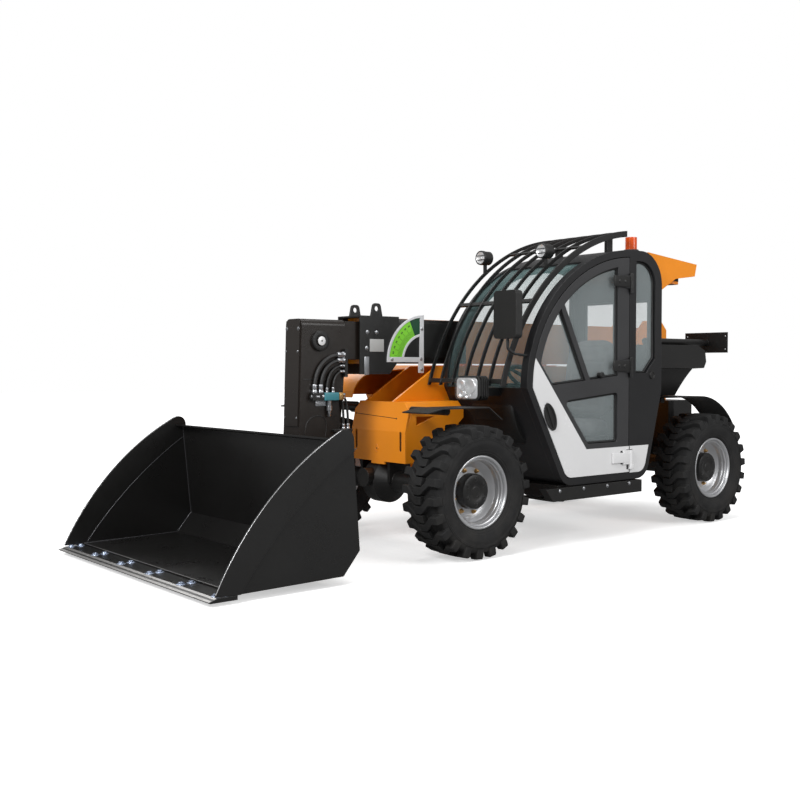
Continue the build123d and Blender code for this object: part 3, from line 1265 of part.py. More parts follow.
def boom_inner():
    """Inner boom tube with the hollow drop head, its front cover and the round boss on its side."""
    h, w, skin = INNER_H / 2, INNER_W / 2, HEAD_SKIN
    box = Rectangle(INNER_W, INNER_H) - Rectangle(INNER_W - 2 * INNER_WALL, INNER_H - 2 * INNER_WALL)
    tube = Pos(0, BOOM_Y, PIVOT_Z) * run(box, REAR + INNER_TAIL, HEAD_BACK + 2)
    head = slab(head_profile(), BOOM_Y - w, BOOM_Y + w)
    front = fillet(Rectangle(INNER_W, 2 * HEAD_TOP).vertices(), HEAD_EDGE_R)
    head = head & run(Pos(BOOM_Y, 0) * front, 0, FAR)
    back, knee = HEAD_BACK + skin, HEAD_KNEE_X - skin
    hollow = poly((back, PIVOT_Z - h - 72), (back, HEAD_TOP - skin), (HEAD_FRONT - skin, HEAD_TOP - skin),
                  (knee, HEAD_KNEE_Z), (knee, HEAD_OPEN_Z), (FAR, HEAD_SHIN_Z), (FAR, 0), (0, 0),
                  (0, HEAD_OPEN_Z), (back + 35, HEAD_KNEE_Z + 20))
    head -= slab(hollow, BOOM_Y - w + skin, BOOM_Y + w - skin)
    head -= rod_y(CARRIAGE_X, CARRIAGE_Z, CARRIAGE_PIN_R + RUN_FIT, BOOM_Y - w - 1, BOOM_Y + w + 1)
    face = BOOM_Y + w
    head += rod_y(BOSS_X, BOSS_Z, BOSS_R, face - 1, face + BOSS_OUT)
    head += rod_y(BOSS_X, BOSS_Z, BOSS_CAP_R, face, face + BOSS_OUT + BOSS_CAP_OUT)
    pin = rod_y(TILT_BASE_X, TILT_BASE_Z, TILT_BARREL_R * PIN_SHARE, BOOM_Y - w + 1, BOOM_Y + w - 1)
    slope = (HEAD_KNEE_X - HEAD_FRONT) / (HEAD_TOP - HEAD_KNEE_Z)
    low_x = HEAD_FRONT + slope * (HEAD_TOP - COVER_LOW)
    high = HEAD_TOP - COVER_EDGE
    cover = poly((HEAD_FRONT - 1, high), (HEAD_FRONT + COVER_T, high), (low_x + COVER_T, COVER_LOW),
                 (low_x - 1, COVER_LOW))
    plate = slab(cover, BOOM_Y - w + COVER_EDGE, BOOM_Y + w - COVER_EDGE)
    return tube + head + pin + plate


def head_lines():
    """Coupler, hose clamp and bracket on the head's left face, and the hoses that run between them."""
    face = BOOM_Y + INNER_W / 2
    y = face + HOSE_STAND
    x0, x1 = COUPLER_X - COUPLER_LENGTH / 2, COUPLER_X + COUPLER_LENGTH / 2
    z0, z1 = COUPLER_Z - COUPLER_HEIGHT / 2, COUPLER_Z + COUPLER_HEIGHT / 2
    clamp_x, depth = HEAD_BACK + CLAMP_W, 2 * HOSE_STAND
    coupler = block(x0, x1, face, face + COUPLER_DEPTH, z0, z1)
    coupler += rod_z(COUPLER_X - COUPLER_HEIGHT / 2, y, HOSE_R, z0 - 2 * COUPLER_HEIGHT, z0 + 1)
    clamp = block(HEAD_BACK + 2, clamp_x, face, face + depth, HOSE_TOP - 4 * HOSE_STEP, HOSE_TOP + HOSE_STEP)
    bracket = block(HEAD_BACK - HOSE_STEP, HEAD_BACK + 3 * HOSE_STEP, face, face + depth,
                    BRACKET_Z - HOSE_STAND, BRACKET_Z)
    hoses = []
    for i, r in enumerate((HOSE_R, HOSE_R, THIN_HOSE_R, THIN_HOSE_R)):
        level = HOSE_TOP - i * HOSE_STEP
        drop = x1 - 2 * HOSE_R - i * (COUPLER_LENGTH - 3 * HOSE_R) / 4
        hoses.append(tube_path(r, (drop - clamp_x) / 3, (clamp_x, y, level), (drop, y, level), (drop, y, z1)))
    for i, level in enumerate((COUPLER_Z - THIN_HOSE_R - 2, COUPLER_Z + THIN_HOSE_R + 2)):
        drop = HEAD_BACK + THIN_HOSE_R - (2 * i - 1) * HOSE_STEP / 2
        hoses.append(tube_path(THIN_HOSE_R, 2 * THIN_HOSE_R, (x0, y, level), (drop, y, level),
                               (drop, y, BRACKET_Z)))
    keep("head_coupler", Compound([piece.solids()[0] for piece in (coupler, clamp, bracket)]))
    keep("head_hoses", Compound([hose.solids()[0] for hose in hoses]))


def tilt_lug():
    """Where the tilt cylinder's rod meets the carriage."""
    a = radians(TILT_LUG_ANGLE)
    return CARRIAGE_X + TILT_LUG_R * cos(a), CARRIAGE_Z + TILT_LUG_R * sin(a)


def carriage():
    """Tool carriage pinned in the head's foot, with lugs for the tilt cylinder."""
    cx, cz = CARRIAGE_X, CARRIAGE_Z
    lx, lz = tilt_lug()
    half = INNER_W / 2 - HEAD_SKIN - SIDE_GAP
    shape = rod_y(cx, cz, CARRIAGE_PIN_R, BOOM_Y - INNER_W / 2, BOOM_Y + INNER_W / 2)
    shape += rod_y(cx, cz, CARRIAGE_TUBE_R, BOOM_Y - half, BOOM_Y + half)
    back = CARRIAGE_BACK + 2
    cheek = poly((lx - 38, lz - 10), (lx - 8, lz + 45), (cx - 36, cz + 30), (cx + 20, cz + 40),
                 (back, cz + 40), (back, cz - 90), (cx + 20, cz - 75), (lx + 20, lz - 36),
                 (lx - 20, lz - 36))
    for side in (-1, 1):
        y = BOOM_Y + side * EYE_T / 2
        shape += slab(cheek, y, y + side * CHEEK_T)
    for y in (BOOM_Y - CARRIAGE_HALF, BOOM_Y + CARRIAGE_HALF - CARRIAGE_POST):
        shape += block(CARRIAGE_BACK, CARRIAGE_FRONT, y, y + CARRIAGE_POST, CARRIAGE_LOW, CARRIAGE_HIGH)
    for z in (CARRIAGE_LOW, CARRIAGE_Z - CARRIAGE_RAIL / 2, CARRIAGE_HIGH - CARRIAGE_RAIL):
        shape += block(CARRIAGE_BACK, CARRIAGE_FRONT, BOOM_Y - CARRIAGE_HALF, BOOM_Y + CARRIAGE_HALF, z,
                       z + CARRIAGE_RAIL)
    return shape


def bucket_back_x(z):
    """The rear face of the bucket's back at a height."""
    return HEEL_X + (BACK_TOP_X - HEEL_X) * (z - HEEL_Z) / (BACK_TOP_Z - HEEL_Z)


def bucket_shell():
    """Floor, heel, back and spill lip of the bucket in one bent sheet, with the carriage ribs."""
    t, edge = BUCKET_T, LIP_X - EDGE_LENGTH
    low, spill_x, spill_z = FLOOR_Z + FLOOR_RISE, BACK_TOP_X + SPILL_LENGTH, BACK_TOP_Z + SPILL_RISE
    sheet = poly((edge, FLOOR_Z), (FLOOR_BACK, low), (HEEL_X, HEEL_Z), (BACK_TOP_X, BACK_TOP_Z),
                 (spill_x, spill_z), (spill_x, spill_z - t - 2), (BACK_TOP_X + t, BACK_TOP_Z - t / 2),
                 (HEEL_X + t, HEEL_Z + t / 2), (FLOOR_BACK + t / 2, low + t), (edge, FLOOR_Z + t))
    half = BUCKET_HALF - SIDE_T
    shape = slab(sheet, -half, half)
    z0, z1 = CARRIAGE_LOW + CARRIAGE_POST, CARRIAGE_HIGH - CARRIAGE_POST / 3
    rib = poly((CARRIAGE_FRONT, z0), (bucket_back_x(z0) + 4, z0), (bucket_back_x(z1) + 4, z1),
               (CARRIAGE_FRONT, z1))
    for side in (-1, 1):
        y = BOOM_Y + side * (CARRIAGE_HALF - CARRIAGE_POST / 2)
        shape += slab(rib, y - RIB_HALF, y + RIB_HALF)
    return shape


def bucket_side():
    """One bucket side with its bowed front edge and a thicker band along that edge."""
    edge, low = LIP_X - EDGE_LENGTH, FLOOR_Z + FLOOR_RISE
    tip, crown, shoulder = (LIP_X - 40, low), (SIDE_TOP_X, SIDE_TOP_Z - 2), (BACK_TOP_X - 10, SIDE_TOP_Z - 40)
    bow = ThreePointArc(tip, (SIDE_BULGE_X, SIDE_BULGE_Z), crown)
    outline = Line((edge, FLOOR_Z), tip) + bow
    outline += ThreePointArc(crown, (BACK_TOP_X + 26, SIDE_TOP_Z + 2), shoulder)
    outline += Polyline(shoulder, (HEEL_X, HEEL_Z), (FLOOR_BACK, low), (edge, FLOOR_Z))
    face = make_face(outline)
    inner = ThreePointArc((LIP_X - 185, FLOOR_Z), (SIDE_BULGE_X - 120, SIDE_BULGE_Z - 110),
                          (BACK_TOP_X - 40, 734))
    cut = make_face(inner + Polyline((BACK_TOP_X - 40, 734), (0, 734), (0, FLOOR_Z), (LIP_X - 185, FLOOR_Z)))
    plate = slab(face, BUCKET_HALF - SIDE_T, BUCKET_HALF - BAND_T)
    return plate + slab(face - cut, BUCKET_HALF - BAND_T - 1, BUCKET_HALF)


def bucket():
    """Bucket shell, its two side plates and the bolted cutting edge."""
    keep("bucket_shell", bucket_shell())
    side = bucket_side()
    keep("bucket_sides", Compound([side.solids()[0], mirrored(side).solids()[0]]))
    edge = LIP_X - EDGE_LENGTH
    lip = poly((edge, FLOOR_Z), (edge, LIP_Z), (LIP_X - 12, LIP_Z), (LIP_X, LIP_Z + 6),
               (LIP_X - EDGE_TIP, FLOOR_Z))
    keep("cutting_edge", slab(lip, -BUCKET_HALF, BUCKET_HALF))


def cylinder(base, eye, barrel_r, rod_r, head_share, closing, names):
    """A hydraulic cylinder from its base pin to its rod's eye, with room for the rod to close."""
    length = hypot(eye[0] - base[0], eye[1] - base[1])
    angle = degrees(atan2(eye[1] - base[1], eye[0] - base[0]))
    place = Pos(base[0], BOOM_Y, base[1]) * Rot(0, -angle, 0)
    head = head_share * length
    barrel = rod_x(0, 0, barrel_r, 0.7 * barrel_r, head) - rod_x(0, 0, rod_r + SLIDE_GAP, barrel_r, head + 1)
    barrel += rod_y(0, 0, barrel_r * 0.8, -EYE_T / 2, EYE_T / 2)
    barrel -= rod_y(0, 0, barrel_r * PIN_SHARE + RUN_FIT, -barrel_r * 2, barrel_r * 2)
    rod = rod_x(0, 0, rod_r, barrel_r + STROKE_SPARE + closing, length)
    rod += rod_y(length, 0, rod_r * EYE_SHARE, -EYE_T * 0.45, EYE_T * 0.45)
    keep(names[0], place * barrel)
    keep(names[1], place * rod)


def booms():
    keep("boom_outer", boom_outer())
    keep("boom_collar", boom_collar())
    keep("load_quadrant", load_quadrant())
    keep("boom_inner", boom_inner())
    head_lines()
    keep("carriage", carriage())
    bucket()
    cylinder((LIFT_BASE_X, LIFT_BASE_Z), (LIFT_EYE_X, LIFT_EYE_Z), LIFT_BARREL_R, LIFT_ROD_R,
             LIFT_HEAD_SHARE, 0, ("lift_barrel", "lift_rod"))
    cylinder((TILT_BASE_X, TILT_BASE_Z), tilt_lug(), TILT_BARREL_R, TILT_ROD_R, TILT_HEAD_SHARE, TILT_CLOSING,
             ("tilt_barrel", "tilt_rod"))


def main():
    running_gear()
    chassis()
    cab()
    rear_corner()
    booms()
    os.makedirs("parts", exist_ok=True)
    for name, shape in NODES.items():
        export_step(Pos(-X_MID, 0, 0) * shape, f"parts/{name}.step")


if __name__ == "__main__":
    main()
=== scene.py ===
"""Looks of a compact telescopic handler: finishes, tyres, seat, trim and a plain studio round its frame."""

import json
from math import radians

import bmesh
import bpy
import numpy as np
from mathutils import Matrix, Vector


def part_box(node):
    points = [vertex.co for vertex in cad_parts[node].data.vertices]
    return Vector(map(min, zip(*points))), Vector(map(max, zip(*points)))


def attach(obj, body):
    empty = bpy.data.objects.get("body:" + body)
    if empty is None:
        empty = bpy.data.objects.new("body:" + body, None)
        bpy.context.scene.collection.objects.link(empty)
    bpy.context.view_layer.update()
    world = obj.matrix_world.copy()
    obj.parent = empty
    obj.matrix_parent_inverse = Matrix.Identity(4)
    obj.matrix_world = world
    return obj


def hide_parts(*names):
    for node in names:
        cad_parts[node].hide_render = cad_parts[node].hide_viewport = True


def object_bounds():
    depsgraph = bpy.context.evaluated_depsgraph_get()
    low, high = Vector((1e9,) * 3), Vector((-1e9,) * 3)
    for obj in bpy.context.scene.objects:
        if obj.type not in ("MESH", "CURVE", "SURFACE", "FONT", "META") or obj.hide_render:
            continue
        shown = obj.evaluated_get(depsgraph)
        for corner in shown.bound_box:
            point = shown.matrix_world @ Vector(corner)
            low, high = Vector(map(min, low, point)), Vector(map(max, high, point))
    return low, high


bl_info = {
    "name": "Telescopic handler looks",
    "version": (1, 0, 0),
    "blender": (4, 5, 0),
    "location": "View3D > Sidebar > Handler",
    "description": "Finishes and fine pieces of a compact telescopic handler around its packed frame",
    "category": "Object",
}

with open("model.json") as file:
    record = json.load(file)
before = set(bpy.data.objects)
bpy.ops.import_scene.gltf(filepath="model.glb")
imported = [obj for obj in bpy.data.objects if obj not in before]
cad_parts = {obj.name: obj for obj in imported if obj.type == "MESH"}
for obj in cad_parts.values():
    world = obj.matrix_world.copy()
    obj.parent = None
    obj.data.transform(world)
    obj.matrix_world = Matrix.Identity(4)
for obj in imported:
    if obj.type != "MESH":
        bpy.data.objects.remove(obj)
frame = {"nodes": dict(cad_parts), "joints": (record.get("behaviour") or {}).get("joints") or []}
CAD_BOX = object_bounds()
JOINTS = {joint["name"]: joint for joint in frame["joints"]}
CORNERS = ("front_left", "front_right", "rear_left", "rear_right")
AXLE = np.array(JOINTS["spin_front_left"]["pos_m"])
TYRE_RADIUS = AXLE[2]
SHARP_ANGLE = radians(34)
LEFTWARD = (0, 1, 0)
FORWARD = (1, 0, 0)
FACE_FORWARD = np.array([[0, 0, 1], [1, 0, 0], [0, 1, 0]], float)

# Which finish each frame node wears
WEARS = {
    "paint": ("frame_sides", "front_nose", "engine_hood", "roof_pod", "boom_outer"),
    "black": ("carriage", "boom_collar", "frame_belly", "rear_frame", "plate_bracket", "side_tank",
              "front_axle", "rear_axle", "cab_guard", "lift_barrel", "tilt_barrel", "head_coupler",
              "knuckle_front_left", "knuckle_front_right", "knuckle_rear_left", "knuckle_rear_right"),
    "bucket": ("bucket_shell", "bucket_sides", "cutting_edge"),
    "head": ("boom_inner",),
    "cab": ("cab_left_frame", "cab_right_wall", "cab_floor", "cab_rear_wall", "cab_roof"),
    "door": ("door_frame",),
    "pale": ("door_panel", "corner_panel"),
    "moulded": ("fenders", "mirror", "door_handle", "seat_base", "steering_console", "lamps", "hood_lamp"),
    "glass": ("cab_glass", "door_glass"),
    "screen": ("windscreen",),
    "silver": ("wheel_front_left", "wheel_front_right", "wheel_rear_left", "wheel_rear_right"),
    "rubber": ("tyre_front_left", "tyre_front_right", "tyre_rear_left", "tyre_rear_right", "head_hoses"),
    "steel": ("lift_rod", "tilt_rod"),
    "bright": ("load_quadrant",),
    "cast": ("engine_block",),
    "amber": ("beacon",),
    "cloth": ("seat_cushion", "seat_back"),
}


def colour(label, words, default):
    """A colour the user can change, red, green and blue in linear light."""
    return bpy.props.FloatVectorProperty(name=label, description=words, default=default, size=3, min=0.0,
                                         max=1.0, subtype="COLOR")


def length(label, words, default):
    """A size in metres the user can change."""
    return bpy.props.FloatProperty(name=label, description=words, default=default, min=0.0,
                                   subtype="DISTANCE", unit="LENGTH")


class HandlerColours(bpy.types.PropertyGroup):
    """Colours of the machine's finishes."""
    paint: colour("Body paint", "Yellow-orange enamel of frame, hood and boom", (0.84, 0.265, 0.008))
    black: colour("Satin black", "Powder coat of bucket, guard and axles", (0.0075, 0.0072, 0.007))
    cab: colour("Cab frame", "Near-black coat of the cab's frame", (0.011, 0.011, 0.012))
    door: colour("Door frame", "Dark grey coat of the door's frame", (0.034, 0.034, 0.036))
    pale: colour("Pale panel", "Off-white enamel of the lower door", (0.74, 0.74, 0.745))
    rubber: colour("Rubber", "Tyre and hose rubber", (0.017, 0.017, 0.0175))
    silver: colour("Rim silver", "Silver paint of the rims", (0.58, 0.585, 0.60))
    amber: colour("Beacon", "Amber lens of the beacon", (0.72, 0.085, 0.004))
    cloth: colour("Seat cover", "Woven cover of the seat", (0.15, 0.155, 0.16))


class HandlerSizes(bpy.types.PropertyGroup):
    """Sizes of the fine pieces."""
    edge: length("Rounded edge", "Radius at which sheet edges catch the light", 0.004)


# Grids and profiles as whole arrays

def quads(rows, cols, loop_rows=False, loop_cols=False):
    """Corner numbers of the four-sided faces of a rows by cols grid, closed round either way where asked."""
    i, j = np.meshgrid(np.arange(rows - (not loop_rows)), np.arange(cols - (not loop_cols)), indexing="ij")
    down, right = (i + 1) % rows, (j + 1) % cols
    return np.stack([i * cols + j, down * cols + j, down * cols + right, i * cols + right], -1).reshape(-1, 4)


def grid(points, loop_rows=False, loop_cols=False):
    """A surface from an array of points, rows by cols by 3."""
    rows, cols = points.shape[:2]
    return points.reshape(-1, 3), quads(rows, cols, loop_rows, loop_cols)


def joined(*shapes):
    """Several surfaces as one, the face numbers of each moved past the points before it."""
    starts = np.cumsum([0] + [len(points) for points, _ in shapes[:-1]])
    return (np.concatenate([points for points, _ in shapes]),
            np.concatenate([faces + start for (_, faces), start in zip(shapes, starts)]))


def copies(shape, matrices, places):
    """The same surface many times: each point is turned by a matrix and moved to a place."""
    points, faces = shape
    matrices, places = np.asarray(matrices, float), np.asarray(places, float)
    moved = np.einsum("nij,pj->npi", matrices, points) + places[:, None, :]
    steps = np.arange(len(places))[:, None, None] * len(points)
    return moved.reshape(-1, 3), (faces[None] + steps).reshape(-1, 4)


def at_places(shape, places):
    """The same surface moved to each place, unturned."""
    places = np.asarray(places, float)
    return copies(shape, np.tile(np.eye(3), (len(places), 1, 1)), places)


def basis(axis):
    """Three unit vectors as columns, the third along the axis."""
    w = np.asarray(axis, float) / np.linalg.norm(axis)
    other = np.eye(3)[np.argmin(np.abs(w))]
    u = np.cross(other, w)
    u /= np.linalg.norm(u)
    return np.stack([u, np.cross(w, u), w], 1)


def turned(profile, sides, centre=(0, 0, 0), axis=(0, 0, 1)):
    """A profile of (radius, height) points carried round an axis: (r cos a, r sin a, h) in its frame."""
    profile = np.asarray(profile, float)
    a = np.linspace(0, 2 * np.pi, sides, endpoint=False)
    r, h = profile[:, :1], profile[:, 1:]
    rings = np.stack([r * np.cos(a), r * np.sin(a), h + 0 * a], -1)
    return grid(rings @ basis(axis).T + np.asarray(centre, float), loop_cols=True)


def spline(points, count):
    """A smooth line through points: between each two, the cubic with half the neighbours' chord as slopes."""
    p = np.asarray(points, float)
    ends = np.concatenate([[2 * p[0] - p[1]], p, [2 * p[-1] - p[-2]]])
    s = np.linspace(0, len(p) - 1, count)
    i = np.minimum(s.astype(int), len(p) - 2)
    t = (s - i)[:, None]
    a, b, c, d = ends[i], ends[i + 1], ends[i + 2], ends[i + 3]
    square, cube = (2 * a - 5 * b + 4 * c - d) * t ** 2, (3 * b - a - 3 * c + d) * t ** 3
    return 0.5 * (2 * b + (c - a) * t + square + cube)


def rounded_outline(half_u, half_v, radius, steps=6):
    """A rectangle with round corners: four quarter circles, each about a corner's own centre."""
    a = np.linspace(0, np.pi / 2, steps + 1)[None, :] + np.arange(4)[:, None] * np.pi / 2
    sign_u, sign_v = np.array([[1], [-1], [-1], [1]]), np.array([[1], [1], [-1], [-1]])
    u = sign_u * (half_u - radius) + radius * np.cos(a)
    v = sign_v * (half_v - radius) + radius * np.sin(a)
    return np.stack([u, v], -1).reshape(-1, 2)


def rounded_block(centre, size, radius, edge, axes=np.eye(3)):
    """A block with round upright corners and rounded rims: outlines stacked by height, drawn in along a
    quarter circle near each end and closed to a point in the middle of each end face."""
    half_u, half_v, half_w = np.asarray(size, float) / 2
    a = np.linspace(0, np.pi / 2, 5)
    inset = np.concatenate([edge * (1 - np.sin(a)), edge * (1 - np.sin(a[::-1]))])
    height = np.concatenate([-half_w + edge * (1 - np.cos(a)), half_w - edge * (1 - np.cos(a[::-1]))])
    corner = np.maximum(radius - inset, radius * 0.1)
    rings = [rounded_outline(half_u - i, half_v - i, r) for i, r in zip(inset, corner)]
    rings = np.stack([np.concatenate([ring, np.full((len(ring), 1), h)], 1)
                      for ring, h in zip(rings, height)])
    ends = [np.zeros_like(rings[:1]) + (0, 0, height[0]), np.zeros_like(rings[:1]) + (0, 0, height[-1])]
    rows = np.concatenate([ends[0], rings, ends[1]])
    return grid(rows @ np.asarray(axes, float).T + np.asarray(centre, float), loop_cols=True)


def tube(path, radius, sides=14):
    """A round section carried along a path, closed at both ends: at each point the circle stands across the
    path's slope, its first direction kept as near as can be to one fixed side direction."""
    path = np.asarray(path, float)
    slope = np.gradient(path, axis=0)
    slope /= np.linalg.norm(slope, axis=1, keepdims=True)
    steady = np.eye(3)[np.argmin(np.abs(path[-1] - path[0]))]
    first = steady - slope * (slope @ steady)[:, None]
    first /= np.linalg.norm(first, axis=1, keepdims=True)
    second = np.cross(slope, first)
    a = np.linspace(0, 2 * np.pi, sides, endpoint=False)
    radius = np.broadcast_to(np.asarray(radius, float), (len(path),))[:, None, None]
    across = first[:, None] * np.cos(a)[None, :, None] + second[:, None] * np.sin(a)[None, :, None]
    rings = path[:, None] + radius * across
    closed = np.concatenate([np.zeros_like(rings[:1]) + path[0], rings, np.zeros_like(rings[:1]) + path[-1]])
    return grid(closed, loop_cols=True)


def soft_bend(points, count=40):
    """A quadratic curve drawn towards its corners: each middle stretch joins the middles of two legs."""
    p = np.asarray(points, float)
    knots = np.concatenate([[p[0]], (p[1:-2] + p[2:-1]) / 2, [p[-1]]])
    t = np.linspace(0, 1, count)[:, None]
    arcs = [a * (1 - t) ** 2 + 2 * b * t * (1 - t) + c * t ** 2 for a, b, c in zip(knots, p[1:-1], knots[1:])]
    return np.concatenate([arcs[0]] + [arc[1:] for arc in arcs[1:]])


def around(axis, count, radius, centre, height=0.0, start=0.0):
    """Places on a circle round an axis."""
    a = start + np.arange(count) * 2 * np.pi / count
    local = np.stack([radius * np.cos(a), radius * np.sin(a), np.full(count, height)], -1)
    return local @ basis(axis).T + np.asarray(centre, float)


BOLT_HEIGHT, WASHER_WIDTH = 0.42, 1.7
BOLT_HEAD = ((0, 1), (0.82, 1), (1, 0.82), (1, 0))
WASHER = ((0, 0.22), (0.94, 0.22), (1, 0.14), (1, 0))


def bolt(axis, across):
    """A six-sided bolt head with a chamfered top on a round washer, its foot at the origin: both profiles
    are shares of the head's radius and height."""
    r, h = across / 2, across * BOLT_HEIGHT
    head = turned(np.array(BOLT_HEAD) * (r, h), 6, axis=axis)
    return joined(head, turned(np.array(WASHER) * (r * WASHER_WIDTH, h), 20, axis=axis))


def mesh_points(mesh):
    """All corner points of a mesh."""
    points = np.empty(len(mesh.vertices) * 3)
    mesh.vertices.foreach_get("co", points)
    return points.reshape(-1, 3)


def node_points(name):
    """All corner points of a frame node."""
    return mesh_points(frame["nodes"][name].data)


def box_of(points):
    """Lowest and highest corner of some points."""
    return points.min(0), points.max(0)


def from_axle(x, y, z):
    """A place counted forward from the front axle, left from the middle and up from the ground."""
    return np.array([AXLE[0] + x, y, z])


def piece(name, shape, coat_name, body, sharp=SHARP_ANGLE):
    """A finished mesh that rides on a body: doubles merged, faces outward, smooth up to the sharp angle."""
    points, faces = shape
    mesh = bpy.data.meshes.new(name)
    mesh.from_pydata(points.tolist(), [], faces.tolist())
    work = bmesh.new()
    work.from_mesh(mesh)
    bmesh.ops.remove_doubles(work, verts=work.verts, dist=1e-6)
    bmesh.ops.dissolve_degenerate(work, edges=work.edges, dist=1e-7)
    bmesh.ops.recalc_face_normals(work, faces=work.faces)
    work.to_mesh(mesh)
    work.free()
    mesh.shade_smooth()
    mesh.set_sharp_from_angle(angle=sharp)
    mesh.materials.append(finish(coat_name))
    obj = bpy.data.objects.new(name, mesh)
    bpy.context.scene.collection.objects.link(obj)
    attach(obj, body)
    return obj


# Shader building blocks

def add(tree, kind, values=None, **settings):
    """A node with its settings, each input linked to a socket or given a value."""
    node = tree.nodes.new(kind)
    for key, value in settings.items():
        setattr(node, key, value)
    for key, value in (values or {}).items():
        if isinstance(value, bpy.types.NodeSocket):
            tree.links.new(value, node.inputs[key])
        else:
            node.inputs[key].default_value = value
    return node


def shader_group(name, inputs, outputs):
    """An empty node group with named sockets: the tree, its inputs and its outputs."""
    tree = bpy.data.node_groups.new(name, "ShaderNodeTree")
    for label, kind in inputs:
        tree.interface.new_socket(label, in_out="INPUT", socket_type="NodeSocket" + kind)
    for label, kind in outputs:
        tree.interface.new_socket(label, in_out="OUTPUT", socket_type="NodeSocket" + kind)
    return tree, tree.nodes.new("NodeGroupInput").outputs, tree.nodes.new("NodeGroupOutput").inputs


def object_noise(tree, scale, detail=4.0):
    """Noise on the piece's own coordinates."""
    place = add(tree, "ShaderNodeTexCoord").outputs["Object"]
    return add(tree, "ShaderNodeTexNoise", {"Vector": place, "Scale": scale, "Detail": detail}).outputs["Fac"]


def ramp(tree, value, low, high, start=0.0, end=1.0):
    """A value carried from one span to another, held at the ends."""
    node = add(tree, "ShaderNodeMapRange", {"Value": value, "From Min": low, "From Max": high,
                                            "To Min": start, "To Max": end}, clamp=True)
    return node.outputs["Result"]


def math(tree, operation, first, second):
    """One sum of two values."""
    return add(tree, "ShaderNodeMath", {0: first, 1: second}, operation=operation).outputs[0]


def blended(tree, share, first, second):
    """Two colours mixed by a share."""
    node = add(tree, "ShaderNodeMix", {"Factor": share}, data_type="RGBA")
    for key, value in ((6, first), (7, second)):
        if isinstance(value, bpy.types.NodeSocket):
            tree.links.new(value, node.inputs[key])
        else:
            node.inputs[key].default_value = (*value, 1.0)
    return node.outputs[2]


def uneven_group():
    """Slight cloudiness of a coat: colour and roughness drift with two sizes of noise."""
    tree, given, out = shader_group(
        "uneven_coat", [("Color", "Color"), ("Drift", "Float"), ("Scale", "Float"), ("Roughness", "Float"),
                        ("Spread", "Float")], [("Color", "Color"), ("Roughness", "Float")])
    broad = object_noise(tree, given["Scale"])
    fine = object_noise(tree, math(tree, "MULTIPLY", given["Scale"], 9.0))
    lift = math(tree, "MULTIPLY", ramp(tree, broad, 0.3, 0.7, -1.0, 1.0), given["Drift"])
    scaled = add(tree, "ShaderNodeVectorMath", {0: given["Color"], "Scale": math(tree, "ADD", lift, 1.0)},
                 operation="SCALE")
    tree.links.new(scaled.outputs["Vector"], out["Color"])
    both = math(tree, "ADD", ramp(tree, broad, 0.3, 0.7, -0.6, 0.6), ramp(tree, fine, 0.3, 0.7, -0.4, 0.4))
    rough = math(tree, "ADD", given["Roughness"], math(tree, "MULTIPLY", both, given["Spread"]))
    tree.links.new(rough, out["Roughness"])
    return tree


def edge_group():
    """Rounded, lightly rubbed edges: where the rounded normal leaves the flat one, the coat is paler."""
    tree, given, out = shader_group(
        "rubbed_edges",
        [("Color", "Color"), ("Edge Color", "Color"), ("Radius", "Float"), ("Amount", "Float")],
        [("Color", "Color"), ("Normal", "Vector")])
    soft = add(tree, "ShaderNodeBevel", {"Radius": given["Radius"]}, samples=4).outputs["Normal"]
    flat = add(tree, "ShaderNodeNewGeometry").outputs["Normal"]
    agree = add(tree, "ShaderNodeVectorMath", {0: soft, 1: flat}, operation="DOT_PRODUCT").outputs["Value"]
    patchy = ramp(tree, object_noise(tree, 26.0), 0.35, 0.65, 0.35, 1.0)
    rubbed = math(tree, "MULTIPLY", patchy, given["Amount"])
    mask = math(tree, "MULTIPLY", ramp(tree, agree, 0.985, 0.85), rubbed)
    tree.links.new(blended(tree, mask, given["Color"], given["Edge Color"]), out["Color"])
    tree.links.new(soft, out["Normal"])
    return tree


def dust_group():
    """Thin dust that gathers low on the machine: height above the ground, broken up by noise."""
    tree, given, out = shader_group(
        "ground_dust",
        [("Color", "Color"), ("Dust Color", "Color"), ("Height", "Float"), ("Amount", "Float")],
        [("Color", "Color")])
    place = add(tree, "ShaderNodeTexCoord").outputs["Object"]
    height = add(tree, "ShaderNodeSeparateXYZ", {0: place}).outputs["Z"]
    low = math(tree, "SUBTRACT", 1.0, math(tree, "DIVIDE", height, given["Height"]))
    cloud = ramp(tree, object_noise(tree, 11.0, 6.0), 0.38, 0.72)
    mask = math(tree, "MULTIPLY", math(tree, "MULTIPLY", ramp(tree, low, 0.0, 1.0), cloud), given["Amount"])
    tree.links.new(blended(tree, mask, given["Color"], given["Dust Color"]), out["Color"])
    return tree


def grain_group():
    """Fine surface grain as a bump, such as orange peel in paint or the stipple of moulded plastic."""
    tree, given, out = shader_group(
        "fine_grain", [("Scale", "Float"), ("Depth", "Float"), ("Normal", "Vector")], [("Normal", "Vector")])
    height = object_noise(tree, given["Scale"], 2.0)
    bump = add(tree, "ShaderNodeBump",
               {"Height": height, "Distance": given["Depth"], "Normal": given["Normal"]})
    tree.links.new(bump.outputs["Normal"], out["Normal"])
    return tree


GROUP_MAKERS = {"uneven_coat": uneven_group, "rubbed_edges": edge_group, "ground_dust": dust_group,
                "fine_grain": grain_group}


def use_group(tree, name, values):
    """Places a shared group in a material, building it the first time."""
    made = bpy.data.node_groups.get(name) or GROUP_MAKERS[name]()
    return add(tree, "ShaderNodeGroup", values, node_tree=made)


def rgba(colour_value):
    """A three-part colour with full alpha."""
    return (*colour_value, 1.0)


DUST_COLOUR, DUST_HEIGHT = (0.24, 0.21, 0.17), 0.9
EDGE_LIFT = 0.3


